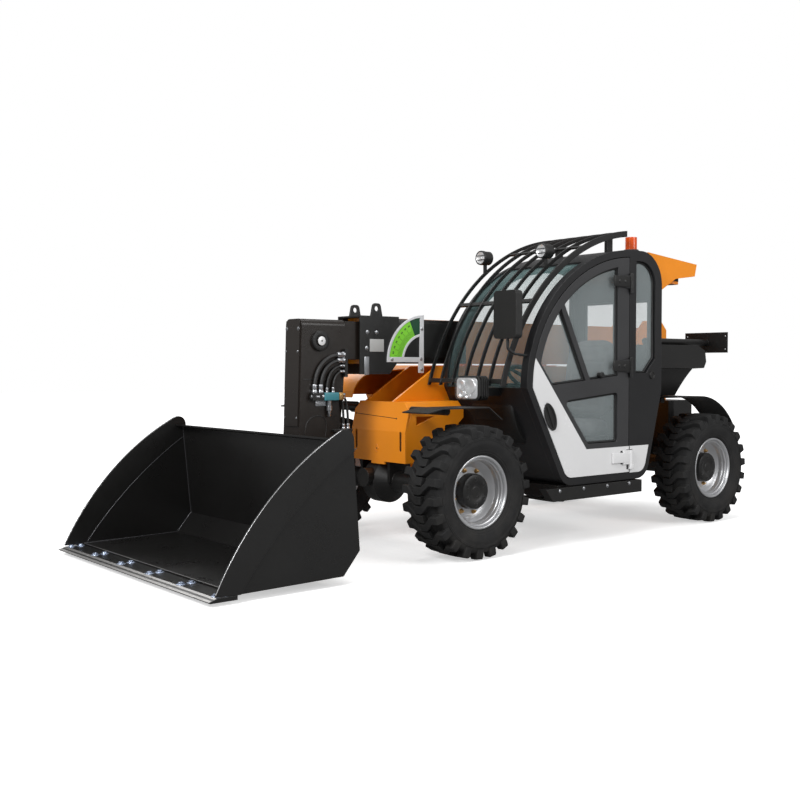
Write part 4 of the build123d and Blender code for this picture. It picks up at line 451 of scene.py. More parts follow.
def coat(name, base, roughness, spread=0.06, drift=0.08, scale=3.0, edge_pale=0.35, edge_amount=0.4,
         dust=0.03, grain=(900.0, 0.0002), **plain):
    """A coated surface: cloudy colour, rubbed edges, low dust and fine grain, with plain values on top."""
    material = bpy.data.materials.new(name)
    material.use_nodes = True
    tree = material.node_tree
    shader = tree.nodes["Principled BSDF"]
    edge = bpy.context.scene.handler_sizes.edge
    uneven = use_group(tree, "uneven_coat", {"Color": rgba(base), "Drift": drift, "Scale": scale,
                                             "Roughness": roughness, "Spread": spread})
    pale = [part + (1 - part) * edge_pale * EDGE_LIFT for part in base]
    rubbed = use_group(tree, "rubbed_edges", {"Color": uneven.outputs["Color"], "Edge Color": rgba(pale),
                                              "Radius": edge, "Amount": edge_amount})
    dusty = use_group(tree, "ground_dust", {"Color": rubbed.outputs["Color"], "Dust Color": rgba(DUST_COLOUR),
                                            "Height": DUST_HEIGHT, "Amount": dust})
    fine = use_group(tree, "fine_grain", {"Scale": grain[0], "Depth": grain[1],
                                          "Normal": rubbed.outputs["Normal"]})
    tree.links.new(dusty.outputs["Color"], shader.inputs["Base Color"])
    tree.links.new(uneven.outputs["Roughness"], shader.inputs["Roughness"])
    tree.links.new(fine.outputs["Normal"], shader.inputs["Normal"])
    for socket, value in plain.items():
        shader.inputs[socket.replace("_", " ")].default_value = value
    return material


def glass_pane(name, film, tint):
    """Thin glass: a faint film seen face on, more mirror-like at a glancing angle, with slight smears."""
    material = bpy.data.materials.new(name)
    material.use_nodes = True
    tree = material.node_tree
    shader = tree.nodes["Principled BSDF"]
    uneven = use_group(tree, "uneven_coat", {"Color": rgba(tint), "Drift": 0.1, "Scale": 2.0,
                                             "Roughness": 0.04, "Spread": 0.02})
    tree.links.new(uneven.outputs["Color"], shader.inputs["Base Color"])
    tree.links.new(uneven.outputs["Roughness"], shader.inputs["Roughness"])
    facing = add(tree, "ShaderNodeLayerWeight", {"Blend": 0.5}).outputs["Facing"]
    glance = math(tree, "POWER", facing, 4.0)
    tree.links.new(ramp(tree, glance, 0.0, 1.0, film, 0.9), shader.inputs["Alpha"])
    return material


FINISHES = {}


def finish(name):
    """A finish by its name, made when it is first asked for."""
    if name not in FINISHES:
        FINISHES[name] = FINISH_MAKERS[name](bpy.context.scene.handler_colours)
    return FINISHES[name]


FINISH_MAKERS = {
    "paint": lambda c: coat("body_paint", c.paint, 0.34, drift=0.05, edge_pale=0.5, dust=0.02,
                            grain=(420.0, 0.0003), Specular_IOR_Level=0.35, Coat_Weight=0.15,
                            Coat_Roughness=0.12),
    "black": lambda c: coat("satin_black", c.black, 0.40, spread=0.08, Specular_IOR_Level=0.5),
    "bucket": lambda c: coat("bucket_black", c.black, 0.30, spread=0.05, edge_amount=0.0, dust=0.0,
                             grain=(900.0, 0.00006), Specular_IOR_Level=0.55),
    "head": lambda c: coat("head_black", (0.014, 0.0105, 0.0085), 0.30, spread=0.06, edge_amount=0.0,
                           grain=(900.0, 0.00006), Specular_IOR_Level=0.5),
    "cab": lambda c: coat("cab_black", c.cab, 0.33, Specular_IOR_Level=0.45),
    "door": lambda c: coat("door_grey", c.door, 0.38, Specular_IOR_Level=0.45),
    "pale": lambda c: coat("pale_enamel", c.pale, 0.25, drift=0.03, edge_amount=0.0, dust=0.02,
                           Coat_Weight=0.3),
    "moulded": lambda c: coat("moulded_black", c.black, 0.5, grain=(1500.0, 0.0005)),
    "glass": lambda c: glass_pane("side_glass", 0.20, (0.44, 0.50, 0.51)),
    "screen": lambda c: glass_pane("screen_glass", 0.08, (0.22, 0.34, 0.34)),
    "silver": lambda c: coat("rim_silver", c.silver, 0.36, Metallic=0.75, dust=0.04, edge_amount=0.2),
    "rubber": lambda c: coat("tyre_rubber", c.rubber, 0.72, drift=0.2, scale=9.0, dust=0.06,
                             grain=(700.0, 0.0006), edge_pale=0.2, Specular_IOR_Level=0.22),
    "steel": lambda c: coat("bare_steel", (0.50, 0.49, 0.48), 0.34, Metallic=0.9, edge_amount=0.0, dust=0.0,
                            grain=(900.0, 0.00004)),
    "zinc": lambda c: coat("zinc_plate", (0.42, 0.43, 0.45), 0.30, Metallic=0.95, dust=0.0),
    "bright": lambda c: coat("bright_zinc", (0.74, 0.75, 0.77), 0.34, Metallic=0.25, dust=0.0),
    # Weld beads: real welds, coloured a paler metallic grey to paint the highlight lines they catch on the
    # black bucket.
    "bead": lambda c: coat("weld_bead", (0.085, 0.085, 0.092), 0.35, Metallic=0.6, dust=0.0, edge_amount=0.0),
    # Pale metal for the bucket's upper side edges: a painted highlight where the edges catch the light.
    "worn": lambda c: coat("worn_edge", (0.55, 0.55, 0.56), 0.3, Metallic=0.7, dust=0.0, edge_amount=0.0),
    "label": lambda c: coat("blank_label", (0.40, 0.40, 0.39), 0.45, dust=0.0, edge_amount=0.0),
    "cast": lambda c: coat("cast_iron", (0.05, 0.05, 0.052), 0.7, grain=(500.0, 0.0012)),
    "amber": lambda c: coat("amber_lens", c.amber, 0.18, drift=0.1, edge_amount=0.0, dust=0.0,
                            Coat_Weight=0.4),
    "brass": lambda c: coat("brass", (0.60, 0.36, 0.14), 0.3, Metallic=0.9, dust=0.05),
    "blue_zinc": lambda c: coat("blue_zinc", (0.50, 0.58, 0.74), 0.26, Metallic=0.85, dust=0.0),
    "teal": lambda c: coat("teal_coat", (0.045, 0.21, 0.25), 0.3, dust=0.0),
    "hose": lambda c: coat("hose_rubber", c.rubber, 0.5, drift=0.15, dust=0.0, edge_amount=0.0,
                           grain=(1200.0, 0.0003)),
    # Near-black rubber: the real seals round the panes, and also the dark sheets and line that paint the
    # shade in the nose's slots and crease.
    "seal": lambda c: coat("seal_rubber", (0.006, 0.006, 0.006), 0.55, dust=0.0, edge_amount=0.0),
    "green": lambda c: coat("scale_green", (0.21, 0.64, 0.03), 0.4, drift=0.04, dust=0.0, edge_amount=0.0),
    "dark_green": lambda c: coat("scale_dark_green", (0.004, 0.055, 0.022), 0.4, dust=0.0, edge_amount=0.0),
    "ink": lambda c: coat("scale_ink", (0.004, 0.035, 0.012), 0.5, dust=0.0, edge_amount=0.0),
    # Lamp chrome: its faint white emission is a painted glow that stands in for the bowls' bright reflection.
    "chrome": lambda c: coat("lamp_chrome", (0.86, 0.87, 0.88), 0.3, Metallic=0.7, dust=0.0, edge_amount=0.0,
                             Emission_Color=(1.0, 1.0, 1.0, 1.0), Emission_Strength=0.06),
    "mirror_glass": lambda c: coat("mirror_face", (0.8, 0.82, 0.83), 0.04, Metallic=1.0, dust=0.0,
                                   edge_amount=0.0),
    "clear": lambda c: glass_pane("lens_glass", 0.03, (0.5, 0.52, 0.53)),
    "cloth": lambda c: coat("seat_weave", c.cloth, 0.85, drift=0.2, scale=14.0, edge_amount=0.0, dust=0.0,
                            grain=(1100.0, 0.0015)),
}


class HANDLER_OT_finishes(bpy.types.Operator):
    """Gives each frame node its finish"""
    bl_idname = "handler.finishes"
    bl_label = "Finishes"

    def execute(self, context):
        for name, nodes in WEARS.items():
            for node in nodes:
                materials = frame["nodes"][node].data.materials
                materials.clear()
                materials.append(finish(name))
        return {"FINISHED"}


# Tyres and wheels

TYRE_SECTION = ((0.112, 0.222), (0.124, 0.232), (0.141, 0.257), (0.1515, 0.290), (0.1520, 0.314),
                (0.1490, 0.338), (0.1430, 0.356), (0.1310, 0.368), (0.0900, 0.3735), (0.0, 0.376))
SIDEWALL_RINGS = ((0.2420, 0.0030, 0.0028), (0.2560, 0.0014, 0.0020), (0.3250, 0.0022, 0.0020),
                  (0.3330, 0.0030, 0.0024))
LUG_STATIONS = ((-0.032, -1.0, 0.0, 0.372), (-0.028, -1.0, 0.0, 0.372), (0.018, -1.0, 0.0, 0.372),
                (0.030, -0.85, 0.0002, 0.372), (0.088, 0.85, 0.0012, 0.370), (0.098, 1.0, 0.0016, 0.369),
                (0.132, 1.0, 0.0030, 0.361), (0.1450, 1.0, 0.0060, 0.352), (0.1500, 1.0, 0.0150, 0.346),
                (0.1518, 1.0, 0.0420, 0.342))
LUG_SECTION = ((-1.28, 0.0), (-1.06, 0.82), (-1.0, 0.95), (-0.92, 1.0), (0.92, 1.0), (1.0, 0.95),
               (1.06, 0.82), (1.28, 0.0))
LUGS_PER_ROW = 22
LUG_HALF_WIDTH = 0.0240
LUG_SWEEP = 0.0300
LUG_SHARP = radians(28)
BEAD_LINE = ((0.206, -0.110), (0.206, 0.110))


def turn_about_y(angles):
    """One turning matrix about Y for each angle."""
    c, s, o = np.cos(angles), np.sin(angles), np.zeros_like(angles)
    return np.stack([np.stack([c, o, s], -1), np.stack([o, o + 1, o], -1), np.stack([-s, o, c], -1)], 1)


def tyre_body():
    """The smooth tyre: a spline section from bead to tread, thin rings raised on it by bell curves of the
    radius, mirrored to the other bead and turned about Y."""
    across, radius = spline(TYRE_SECTION, 110).T
    for ring, rise, width in SIDEWALL_RINGS:
        across = across + rise * np.exp(-((radius - ring) / width) ** 2)
    section = np.concatenate([np.stack([radius, across], -1), np.stack([radius, -across], -1)[::-1][1:]])
    return turned(np.concatenate([section, BEAD_LINE, section[:1]]), 108, axis=LEFTWARD)


def tread_lug():
    """One lug at the top of the tyre: stations run from the tread's middle to the sidewall, each with a sweep
    along the tread and a top and foot radius, and a bevelled section stands on every station."""
    across, sweep, drop, foot = (column[:, None] for column in np.array(LUG_STATIONS).T)
    side, height = (column[None, :] for column in np.array(LUG_SECTION).T)
    angle = -(sweep * LUG_SWEEP + side * LUG_HALF_WIDTH) / TYRE_RADIUS
    radius = foot + (TYRE_RADIUS - drop - foot) * height
    rows = np.stack([radius * np.sin(angle), across + 0 * angle, radius * np.cos(angle)], -1)
    middle = rows[[0, -1]][:, [0, -1]].mean(1, keepdims=True)
    ends = np.broadcast_to(middle, (2, rows.shape[1], 3))
    return grid(np.concatenate([ends[:1], rows, ends[1:]]))


def lugged_tyre(centre):
    """The tyre's body with two staggered rows of lugs, the second a mirror of the first."""
    pitch = 2 * np.pi / LUGS_PER_ROW
    angles = np.arange(LUGS_PER_ROW) * pitch
    points, faces = tread_lug()
    left = copies((points, faces), turn_about_y(angles), np.zeros((LUGS_PER_ROW, 3)))
    mirror = points * (1, -1, 1), faces
    right = copies(mirror, turn_about_y(angles + pitch / 2), np.zeros((LUGS_PER_ROW, 3)))
    points, faces = joined(tyre_body(), left, right)
    return points + centre, faces


class HANDLER_OT_tyres(bpy.types.Operator):
    """Four lugged tyres"""
    bl_idname = "handler.tyres"
    bl_label = "Tyres"

    def execute(self, context):
        for corner in CORNERS:
            centre = np.array(JOINTS["spin_" + corner]["pos_m"])
            tyre = piece("rubber_" + corner, lugged_tyre(centre), "rubber", "wheel_" + corner,
                         sharp=LUG_SHARP)
            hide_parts("tyre_" + corner)
        return {"FINISHED"}


RIM_FRONT = ((0.2255, 0.1120), (0.2262, 0.1215), (0.2235, 0.1252), (0.2175, 0.1260), (0.2130, 0.1238),
             (0.2098, 0.1165), (0.2068, 0.1085), (0.1990, 0.1040), (0.1962, 0.0985), (0.1960, 0.0850),
             (0.1932, 0.0795), (0.1915, 0.0700), (0.1912, 0.0520), (0.1840, 0.0440), (0.1680, 0.0285),
             (0.1520, 0.0170), (0.1440, 0.0145), (0.1080, 0.0140))
RIM_BACK = ((0.1080, 0.0), (0.1520, 0.0), (0.1780, 0.0200), (0.1780, -0.1230), (0.2255, -0.1230),
            (0.2255, -0.1150), (0.2055, -0.1150), (0.2055, 0.1110))
HUB_PROFILE = ((0.0, 0.0800), (0.0300, 0.0800), (0.0335, 0.0775), (0.0560, 0.0775), (0.0595, 0.0795),
               (0.0960, 0.0795), (0.1050, 0.0760), (0.1095, 0.0690), (0.1100, 0.0135), (0.1180, 0.0),
               (0.1180, -0.0620), (0.0560, -0.0620), (0.0560, -0.0100), (0.0, -0.0100))
NUT_RING, NUT_FOOT = 0.1345, 0.0142
NUTS = 8
NUT = ((0, 0.015), (0.0098, 0.015), (0.0122, 0.0125), (0.0122, 0.0))
STUD = ((0, 0.023), (0.0055, 0.023), (0.0066, 0.0215), (0.0066, 0.0))
NUT_CONE = ((0.0122, 0.004), (0.0165, 0.0), (0.0122, 0.0))
HUB_PLUG_RING, HUB_FACE = 0.0775, 0.0795
HUB_PLUGS = 6
HUB_PLUG = ((0, 0.0035), (0.008, 0.0032), (0.0105, 0.001), (0.0110, -0.001), (0.0145, -0.001), (0.0150, 0.0))
VALVE_RING, VALVE_FOOT, VALVE_LENGTH, VALVE_R = 0.180, 0.045, 0.034, 0.004


def wheel_nuts(centre, outward):
    """Hexagon nuts on their studs round the hub."""
    nut = turned(NUT, 6, axis=outward)
    stud = turned(STUD, 14, axis=outward)
    cone = turned(NUT_CONE, 20, axis=outward)
    places = around(outward, NUTS, NUT_RING, centre, height=NUT_FOOT, start=0.3)
    return at_places(joined(nut, stud, cone), places)


def hub_plugs(centre, outward):
    """Shallow round plugs in the hub's face."""
    plug = turned(HUB_PLUG, 20, axis=outward)
    return at_places(plug, around(outward, HUB_PLUGS, HUB_PLUG_RING, centre, height=HUB_FACE))


class HANDLER_OT_rims(bpy.types.Operator):
    """Dished rims, hubs, wheel nuts and valves"""
    bl_idname = "handler.rims"
    bl_label = "Rims"

    def execute(self, context):
        for corner in CORNERS:
            centre = np.array(JOINTS["spin_" + corner]["pos_m"])
            outward = LEFTWARD if corner.endswith("left") else (0, -1, 0)
            body = "wheel_" + corner
            front = spline(RIM_FRONT, 90)
            outline = np.concatenate([front, RIM_BACK, front[:1]])
            rim = piece("rim_" + corner, turned(outline, 112, centre, outward), "silver", body)
            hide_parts(body)
            hub = joined(turned(HUB_PROFILE, 72, centre, outward), hub_plugs(centre, outward))
            piece("hub_" + corner, hub, "black", body)
            piece("nuts_" + corner, wheel_nuts(centre, outward), "brass", body)
            foot = around(outward, 1, VALVE_RING, centre, height=VALVE_FOOT, start=1.2)[0]
            stem = tube(np.linspace(foot, foot + np.array(outward) * VALVE_LENGTH, 4), VALVE_R, 10)
            piece("valve_" + corner, stem, "zinc", body)
        return {"FINISHED"}


# Hoses, coupler and the head's small parts

HEAD_FACE_Y = 0.030
HOSE_STAND = 0.016
HOSE_START_X = 0.424
HOSE_RUNS = ((0.0130, 1.252, 0.654), (0.0130, 1.216, 0.6063), (0.0080, 1.180, 0.5585),
             (0.0080, 1.144, 0.5108))
COUPLER_TOP = 1.009
RETURN_HOSE_R = 0.008
RETURN_RUNS = ((0.976, 0.428), (0.996, 0.392))
COUPLER_REAR_X = 0.450
BRACKET_TOP = 0.775
FERRULE_REACH = (0, 1.0, 1.4, 1.8, 4.0, 4.2)
FERRULE_SWELL = (1.5, 1.5, 1.12, 1.3, 1.3, 1.12)


def hose_routes():
    """Radius and corner points of each hose, front to rear, in the plane where they stand off the head."""
    y = HEAD_FACE_Y + HOSE_STAND
    down = [(r, [(HOSE_START_X, y, level), (drop, y, level), (drop, y, COUPLER_TOP)])
            for r, level, drop in HOSE_RUNS]
    back = [(RETURN_HOSE_R, [(COUPLER_REAR_X, y, level), (drop, y, level), (drop, y, BRACKET_TOP)])
            for level, drop in RETURN_RUNS]
    return [(r, [from_axle(*point) for point in points]) for r, points in down + back]


def ferrules(routes):
    """Crimped sleeves at both ends of each hose: a tube with a waist."""
    shapes = []
    for r, points in routes:
        for end, toward in ((points[0], points[1]), (points[-1], points[-2])):
            way = (toward - end) / np.linalg.norm(toward - end)
            reach = np.linspace(0, FERRULE_REACH[-1] * r, 9)
            swell = r * np.interp(reach, np.array(FERRULE_REACH) * r, FERRULE_SWELL)
            shapes.append(tube(end + reach[:, None] * way, swell, 16))
    return joined(*shapes)


class HANDLER_OT_hoses(bpy.types.Operator):
    """Hydraulic hoses on the boom's head with their crimped ends and coupler fittings"""
    bl_idname = "handler.hoses"
    bl_label = "Hoses"

    def execute(self, context):
        routes = hose_routes()
        bent = joined(*[tube(soft_bend(points), r) for r, points in routes])
        hoses = piece("smooth_hoses", bent, "hose", "inner_boom")
        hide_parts("head_hoses")
        piece("hose_ends", ferrules(routes), "zinc", "inner_boom")
        piece("coupler_fittings", coupler_fittings(), "zinc", "inner_boom")
        piece("coupler_valve", coupler_valve(), "teal", "inner_boom")
        piece("coupler_brass", coupler_brass(), "brass", "inner_boom")
        return {"FINISHED"}


VALVE_CENTRE = (0.538, 0.052, 0.986)
VALVE_SIZE = (0.112, 0.052, 0.050)
BRASS_CENTRE, BRASS_SIZE = (0.465, 0.052, 0.986), (0.034, 0.050, 0.048)
COLLAR_FOOT = (0.448, 0.05, 0.986)
COLLAR = ((0.0, 0.012), (0.017, 0.012), (0.019, 0.009), (0.019, 0.0))
LINE_FOOT = (0.594, 0.052, 0.986)
LINE = ((0.0, 0.092), (0.010, 0.092), (0.013, 0.086), (0.013, 0.062), (0.019, 0.060), (0.019, 0.034),
        (0.014, 0.032), (0.014, 0.018), (0.021, 0.016), (0.021, 0.0))
PORT_FOOT = (0.542, 0.048, 0.963)
PORT = ((0.0, 0.105), (0.009, 0.105), (0.012, 0.098), (0.012, 0.070), (0.018, 0.066), (0.018, 0.036),
        (0.014, 0.034), (0.014, 0.0))
FOOT_PLATE_CENTRE, FOOT_PLATE_SIZE = (0.594, 0.0335, 0.945), (0.088, 0.005, 0.040)


def coupler_valve():
    """Teal valve body over the middle of the coupler block."""
    return rounded_block(from_axle(*VALVE_CENTRE), VALVE_SIZE, 0.006, 0.004)


def coupler_brass():
    """Brass end of the valve with a hexagon collar."""
    cube = rounded_block(from_axle(*BRASS_CENTRE), BRASS_SIZE, 0.005, 0.003)
    return joined(cube, turned(COLLAR, 6, from_axle(*COLLAR_FOOT), (-1, 0, 0)))


def coupler_fittings():
    """Zinc adaptors in front of the valve and the plugged port below it."""
    line = turned(LINE, 18, from_axle(*LINE_FOOT), FORWARD)
    port = turned(PORT, 18, from_axle(*PORT_FOOT), (0, 0, -1))
    plate = rounded_block(from_axle(*FOOT_PLATE_CENTRE), FOOT_PLATE_SIZE, 0.002, 0.001)
    return joined(line, port, plate)


BOSS_X, BOSS_Z = 0.604, 1.337
CAP_Y, RING_Y, DOT_Y = 0.0582, 0.046, 0.0598
BOSS_CAP = ((0, 0.0015), (0.026, 0.0012), (0.0285, 0.0), (0.0285, -0.003))
BOSS_RING = ((0.034, 0.0), (0.034, 0.004), (0.040, 0.0055), (0.058, 0.0055), (0.063, 0.003), (0.064, -0.012))
BOSS_DOT = ((0, 0.001), (0.005, 0.001), (0.006, 0.0))
BOOM_PLATES = {
    "blank_plate": ((0.1685, 0.0632, 1.314), (0.117, 0.0024, 0.082), 0.0011, 0.0006, "label"),
    "boom_side_skin": ((-0.330, 0.0510, 1.345), (0.620, 0.0024, 0.297), 0.0011, 0.0006, "black"),
    "grey_strip": ((0.253, 0.0640, 1.1805), (0.040, 0.004, 0.119), 0.0018, 0.001, "zinc"),
}
SEAM_Z, SEAM_FROM, SEAM_TO = 1.095, 0.500, 0.728
SEAM_R, PANEL_R = 0.0028, 0.0034
PANEL_CORNERS = ((0.715, 0.735), (0.720, 0.863), (0.523, 0.867), (0.562, 0.728))


class HANDLER_OT_head(bpy.types.Operator):
    """Small parts of the boom's head and collar: boss cap, seams, blank plates"""
    bl_idname = "handler.head"
    bl_label = "Boom head"

    def execute(self, context):
        cap = turned(BOSS_CAP, 40, from_axle(BOSS_X, CAP_Y, BOSS_Z), LEFTWARD)
        piece("boss_cap", cap, "pale", "inner_boom")
        ring = turned(BOSS_RING, 56, from_axle(BOSS_X, RING_Y, BOSS_Z), LEFTWARD)
        dot = turned(BOSS_DOT, 18, from_axle(BOSS_X, DOT_Y, BOSS_Z), LEFTWARD)
        piece("boss_ring", joined(ring, dot), "moulded", "inner_boom")
        piece("head_seams", head_seams(), "black", "inner_boom")
        for name, (place, size, corner, edge, coat_name) in BOOM_PLATES.items():
            piece(name, rounded_block(from_axle(*place), size, corner, edge), coat_name, "boom")
        return {"FINISHED"}


def head_seams():
    """Raised beads on the head's left face: a level seam and the outline of the panel at its foot."""
    y = HEAD_FACE_Y + 0.0005
    seam = np.linspace(from_axle(SEAM_FROM, y, SEAM_Z), from_axle(SEAM_TO, y, SEAM_Z), 12)
    panel = soft_bend([from_axle(x, y, z) for x, z in PANEL_CORNERS], 14)
    return joined(tube(seam, SEAM_R, 8), tube(panel, PANEL_R, 8))


# Load quadrant

QUADRANT_CENTRE = (-0.232, 0.0668, 1.205)
BAND_IN, BAND_OUT = 0.194, 0.301
BAND_FROM, BAND_SPLIT, BAND_TO = radians(7.0), radians(66.0), radians(83.5)
BAND_RISE, MARK_RISE = 0.0008, 0.0012
MARK_START, MARK_HALF = BAND_IN + 0.006, 0.004
LONG_MARK, SHORT_MARK = 0.060, 0.036
DASH_IN, DASH_OUT = BAND_OUT - 0.034, BAND_OUT - 0.022
DASH_SPANS = ((-0.028, -0.008), (0.004, 0.028))


def sector(r0, r1, a0, a1, rise):
    """A flat piece of ring: radius by angle, lifted off the plate by a small rise with a turned-down rim."""
    r, a = np.meshgrid(np.array([r0, r0, r1, r1]), np.linspace(a0, a1, 40), indexing="ij")
    lift = np.array([0.0, rise, rise, 0.0])[:, None] + 0 * a
    x, y, z = QUADRANT_CENTRE
    return grid(np.stack([AXLE[0] + x + r * np.cos(a), y + lift, z + r * np.sin(a)], -1))


def scale_marks():
    """Fan of scale lines, every fourth one long, with paired dashes outside them, all thin sectors."""
    marks = []
    for i, a in enumerate(np.linspace(BAND_FROM + 0.05, BAND_SPLIT - 0.03, 25)):
        reach = LONG_MARK if i % 4 == 0 else SHORT_MARK
        marks.append(sector(MARK_START, MARK_START + reach, a - MARK_HALF, a + MARK_HALF, MARK_RISE))
    for a in np.linspace(BAND_FROM + 0.11, BAND_SPLIT - 0.08, 7):
        marks += [sector(DASH_IN, DASH_OUT, a + low, a + high, MARK_RISE) for low, high in DASH_SPANS]
    return joined(*marks)


class HANDLER_OT_quadrant(bpy.types.Operator):
    """Scale of the load quadrant beside the boom"""
    bl_idname = "handler.quadrant"
    bl_label = "Load quadrant"

    def execute(self, context):
        safe = sector(BAND_IN, BAND_OUT, BAND_FROM, BAND_SPLIT, BAND_RISE)
        piece("scale_safe", safe, "green", "boom")
        high = sector(BAND_IN, BAND_OUT, BAND_SPLIT, BAND_TO, BAND_RISE)
        piece("scale_high", high, "dark_green", "boom")
        piece("scale_marks", scale_marks(), "ink", "boom")
        return {"FINISHED"}


# Glass seals, door and cab trim

def face_loops(node, axis, sign):
    """Outlines of a node's flat faces that look one way along an axis: the edges that only one triangle has,
    chained into closed loops of points."""
    mesh = frame["nodes"][node].data
    mesh.calc_loop_triangles()
    corners = np.empty(len(mesh.loop_triangles) * 3, int)
    mesh.loop_triangles.foreach_get("vertices", corners)
    points, index = np.unique(node_points(node).round(5), axis=0, return_inverse=True)
    triangles = index.reshape(-1)[corners].reshape(-1, 3)
    a, b, c = (points[triangles[:, k]] for k in range(3))
    normal = np.cross(b - a, c - a)
    normal /= np.maximum(np.linalg.norm(normal, axis=1, keepdims=True), 1e-12)
    kept = triangles[normal[:, axis] * sign > 0.999]
    edges = np.concatenate([kept[:, [0, 1]], kept[:, [1, 2]], kept[:, [2, 0]]])
    lookup = {tuple(edge) for edge in edges.tolist()}
    onward = {start: end for start, end in lookup if (end, start) not in lookup}
    loops = []
    while onward:
        start, here = onward.popitem()
        loop = [start]
        while here != start:
            loop.append(here)
            here = onward.pop(here)
        loops.append(points[loop])
    return loops


def strip_along(loop, normal, section):
    """A section of (inset, rise) points carried round a flat closed loop, mitred at its corners."""
    ahead = np.roll(loop, -1, 0) - loop
    ahead /= np.linalg.norm(ahead, axis=1, keepdims=True)
    inward = np.cross(np.asarray(normal, float), ahead)
    before = np.roll(inward, 1, 0)
    mitre = (inward + before) / (1 + np.sum(inward * before, 1, keepdims=True))
    section = np.asarray(section, float)
    inset, rise = section[None, :, :1], section[None, :, 1:]
    rows = loop[:, None] + inset * mitre[:, None] + rise * np.asarray(normal, float)
    return grid(rows, loop_rows=True, loop_cols=True)


SEAL_SECTION = ((0.0, 0.0), (0.001, 0.006), (0.006, 0.0085), (0.013, 0.006), (0.015, 0.0))


def seals(node, ways):
    """Rubber seals round every flat pane of a node, on the faces that look the given ways."""
    strips = []
    for axis, sign in ways:
        normal = np.eye(3)[axis] * sign
        strips += [strip_along(loop, normal, SEAL_SECTION) for loop in face_loops(node, axis, sign)]
    return joined(*strips)


class HANDLER_OT_seals(bpy.types.Operator):
    """Rubber seals round the flat panes of door and cab"""
    bl_idname = "handler.seals"
    bl_label = "Window seals"

    def execute(self, context):
        piece("door_seals", seals("door_glass", ((1, 1), (1, -1))), "seal", "door")
        piece("cab_seals", seals("cab_glass", ((1, 1), (1, -1), (0, -1))), "seal", "chassis")
        return {"FINISHED"}


HINGE_X, HINGE_Y = -1.405, 0.899
HINGE_HEIGHTS = (1.180, 1.757)
LOW_HINGE = 0.550
DOOR_FACE_Y = 0.885
STRAP_SIZE, BARREL_HALF, BARREL_R = (0.172, 0.012, 0.074), 0.048, 0.0155
BARREL_CAP = ((0, 0.012), (0.010, 0.012), (0.0165, 0.006), (0.0165, 0.0))
LOW_STRAP_SIZE, LOW_ROOT_SIZE = (0.190, 0.018, 0.070), (0.088, 0.017, 0.098)
LOW_BARREL_HALF, LOW_BARREL_R = 0.050, 0.0160
LOW_LUG_Z, LOW_LUG_SIZE = 0.4865, (0.046, 0.033, 0.036)
KNOB_FOOT = (-1.100, 0.865, 1.118)
KNOB = ((0, 0.040), (0.016, 0.040), (0.021, 0.034), (0.021, 0.024), (0.012, 0.020), (0.012, 0.004),
        (0.018, 0.003), (0.018, 0.0))
LOCK_FOOT = (-1.658, 0.8845, 1.116)
LOCK = ((0, 0.004), (0.018, 0.004), (0.022, 0.009), (0.027, 0.009), (0.029, 0.0))


def hinge_barrel(z, half, radius):
    """An upright round bar on the door's hinge axis, at one height."""
    ends = [from_axle(HINGE_X, HINGE_Y, z + way * half) for way in (-1, 1)]
    return tube(np.linspace(*ends, 6), radius, 18)


def hinge_cover(z):
    """A dark cover over one hinge: a strap with a round nose, and the barrel with a cap on its upper end."""
    strap = rounded_block(from_axle(HINGE_X + 0.105, HINGE_Y + 0.002, z), STRAP_SIZE, 0.005, 0.003)
    cap = turned(BARREL_CAP, 18, from_axle(HINGE_X, HINGE_Y, z + BARREL_HALF))
    return joined(strap, hinge_barrel(z, BARREL_HALF, BARREL_R), cap)


def low_hinge_cover():
    """The lowest hinge under a pale cover: a broad strap, its wide root and a tube over the barrel."""
    place = from_axle(HINGE_X + 0.098, HINGE_Y - 0.001, LOW_HINGE)
    strap = rounded_block(place, LOW_STRAP_SIZE, 0.007, 0.004)
    place = from_axle(HINGE_X + 0.036, HINGE_Y - 0.001, LOW_HINGE)
    root = rounded_block(place, LOW_ROOT_SIZE, 0.007, 0.004)
    return joined(strap, root, hinge_barrel(LOW_HINGE, LOW_BARREL_HALF, LOW_BARREL_R))


def low_lug_cover():
    """A pale cover round the pillar's lug under the lowest hinge."""
    place = from_axle(HINGE_X - 0.0065, HINGE_Y - 0.0005, LOW_LUG_Z)
    return rounded_block(place, LOW_LUG_SIZE, 0.014, 0.003)


class HANDLER_OT_door_trim(bpy.types.Operator):
    """Hinge covers, handle rim, knobs and the pale hinge cover of the door"""
    bl_idname = "handler.door_trim"
    bl_label = "Door trim"

    def execute(self, context):
        covers = joined(*[hinge_cover(z) for z in HINGE_HEIGHTS])
        piece("hinge_covers", covers, "black", "door")
        piece("low_hinge_cover", low_hinge_cover(), "pale", "door")
        piece("low_lug_cover", low_lug_cover(), "pale", "chassis")
        knob = turned(KNOB, 28, from_axle(*KNOB_FOOT), LEFTWARD)
        piece("door_knob", knob, "moulded", "door")
        lock = turned(LOCK, 32, from_axle(*LOCK_FOOT), LEFTWARD)
        piece("side_lock", lock, "moulded", "chassis")
        lo, hi = box_of(node_points("door_handle"))
        piece("handle_rim", handle_rim((lo + hi) / 2), "silver", "door")
        return {"FINISHED"}


HANDLE_LONG, HANDLE_WIDE, HANDLE_TURN = 0.0955, 0.0495, radians(65.5)
HANDLE_RIM_Y, HANDLE_RIM_R = DOOR_FACE_Y + 0.0055, 0.0028


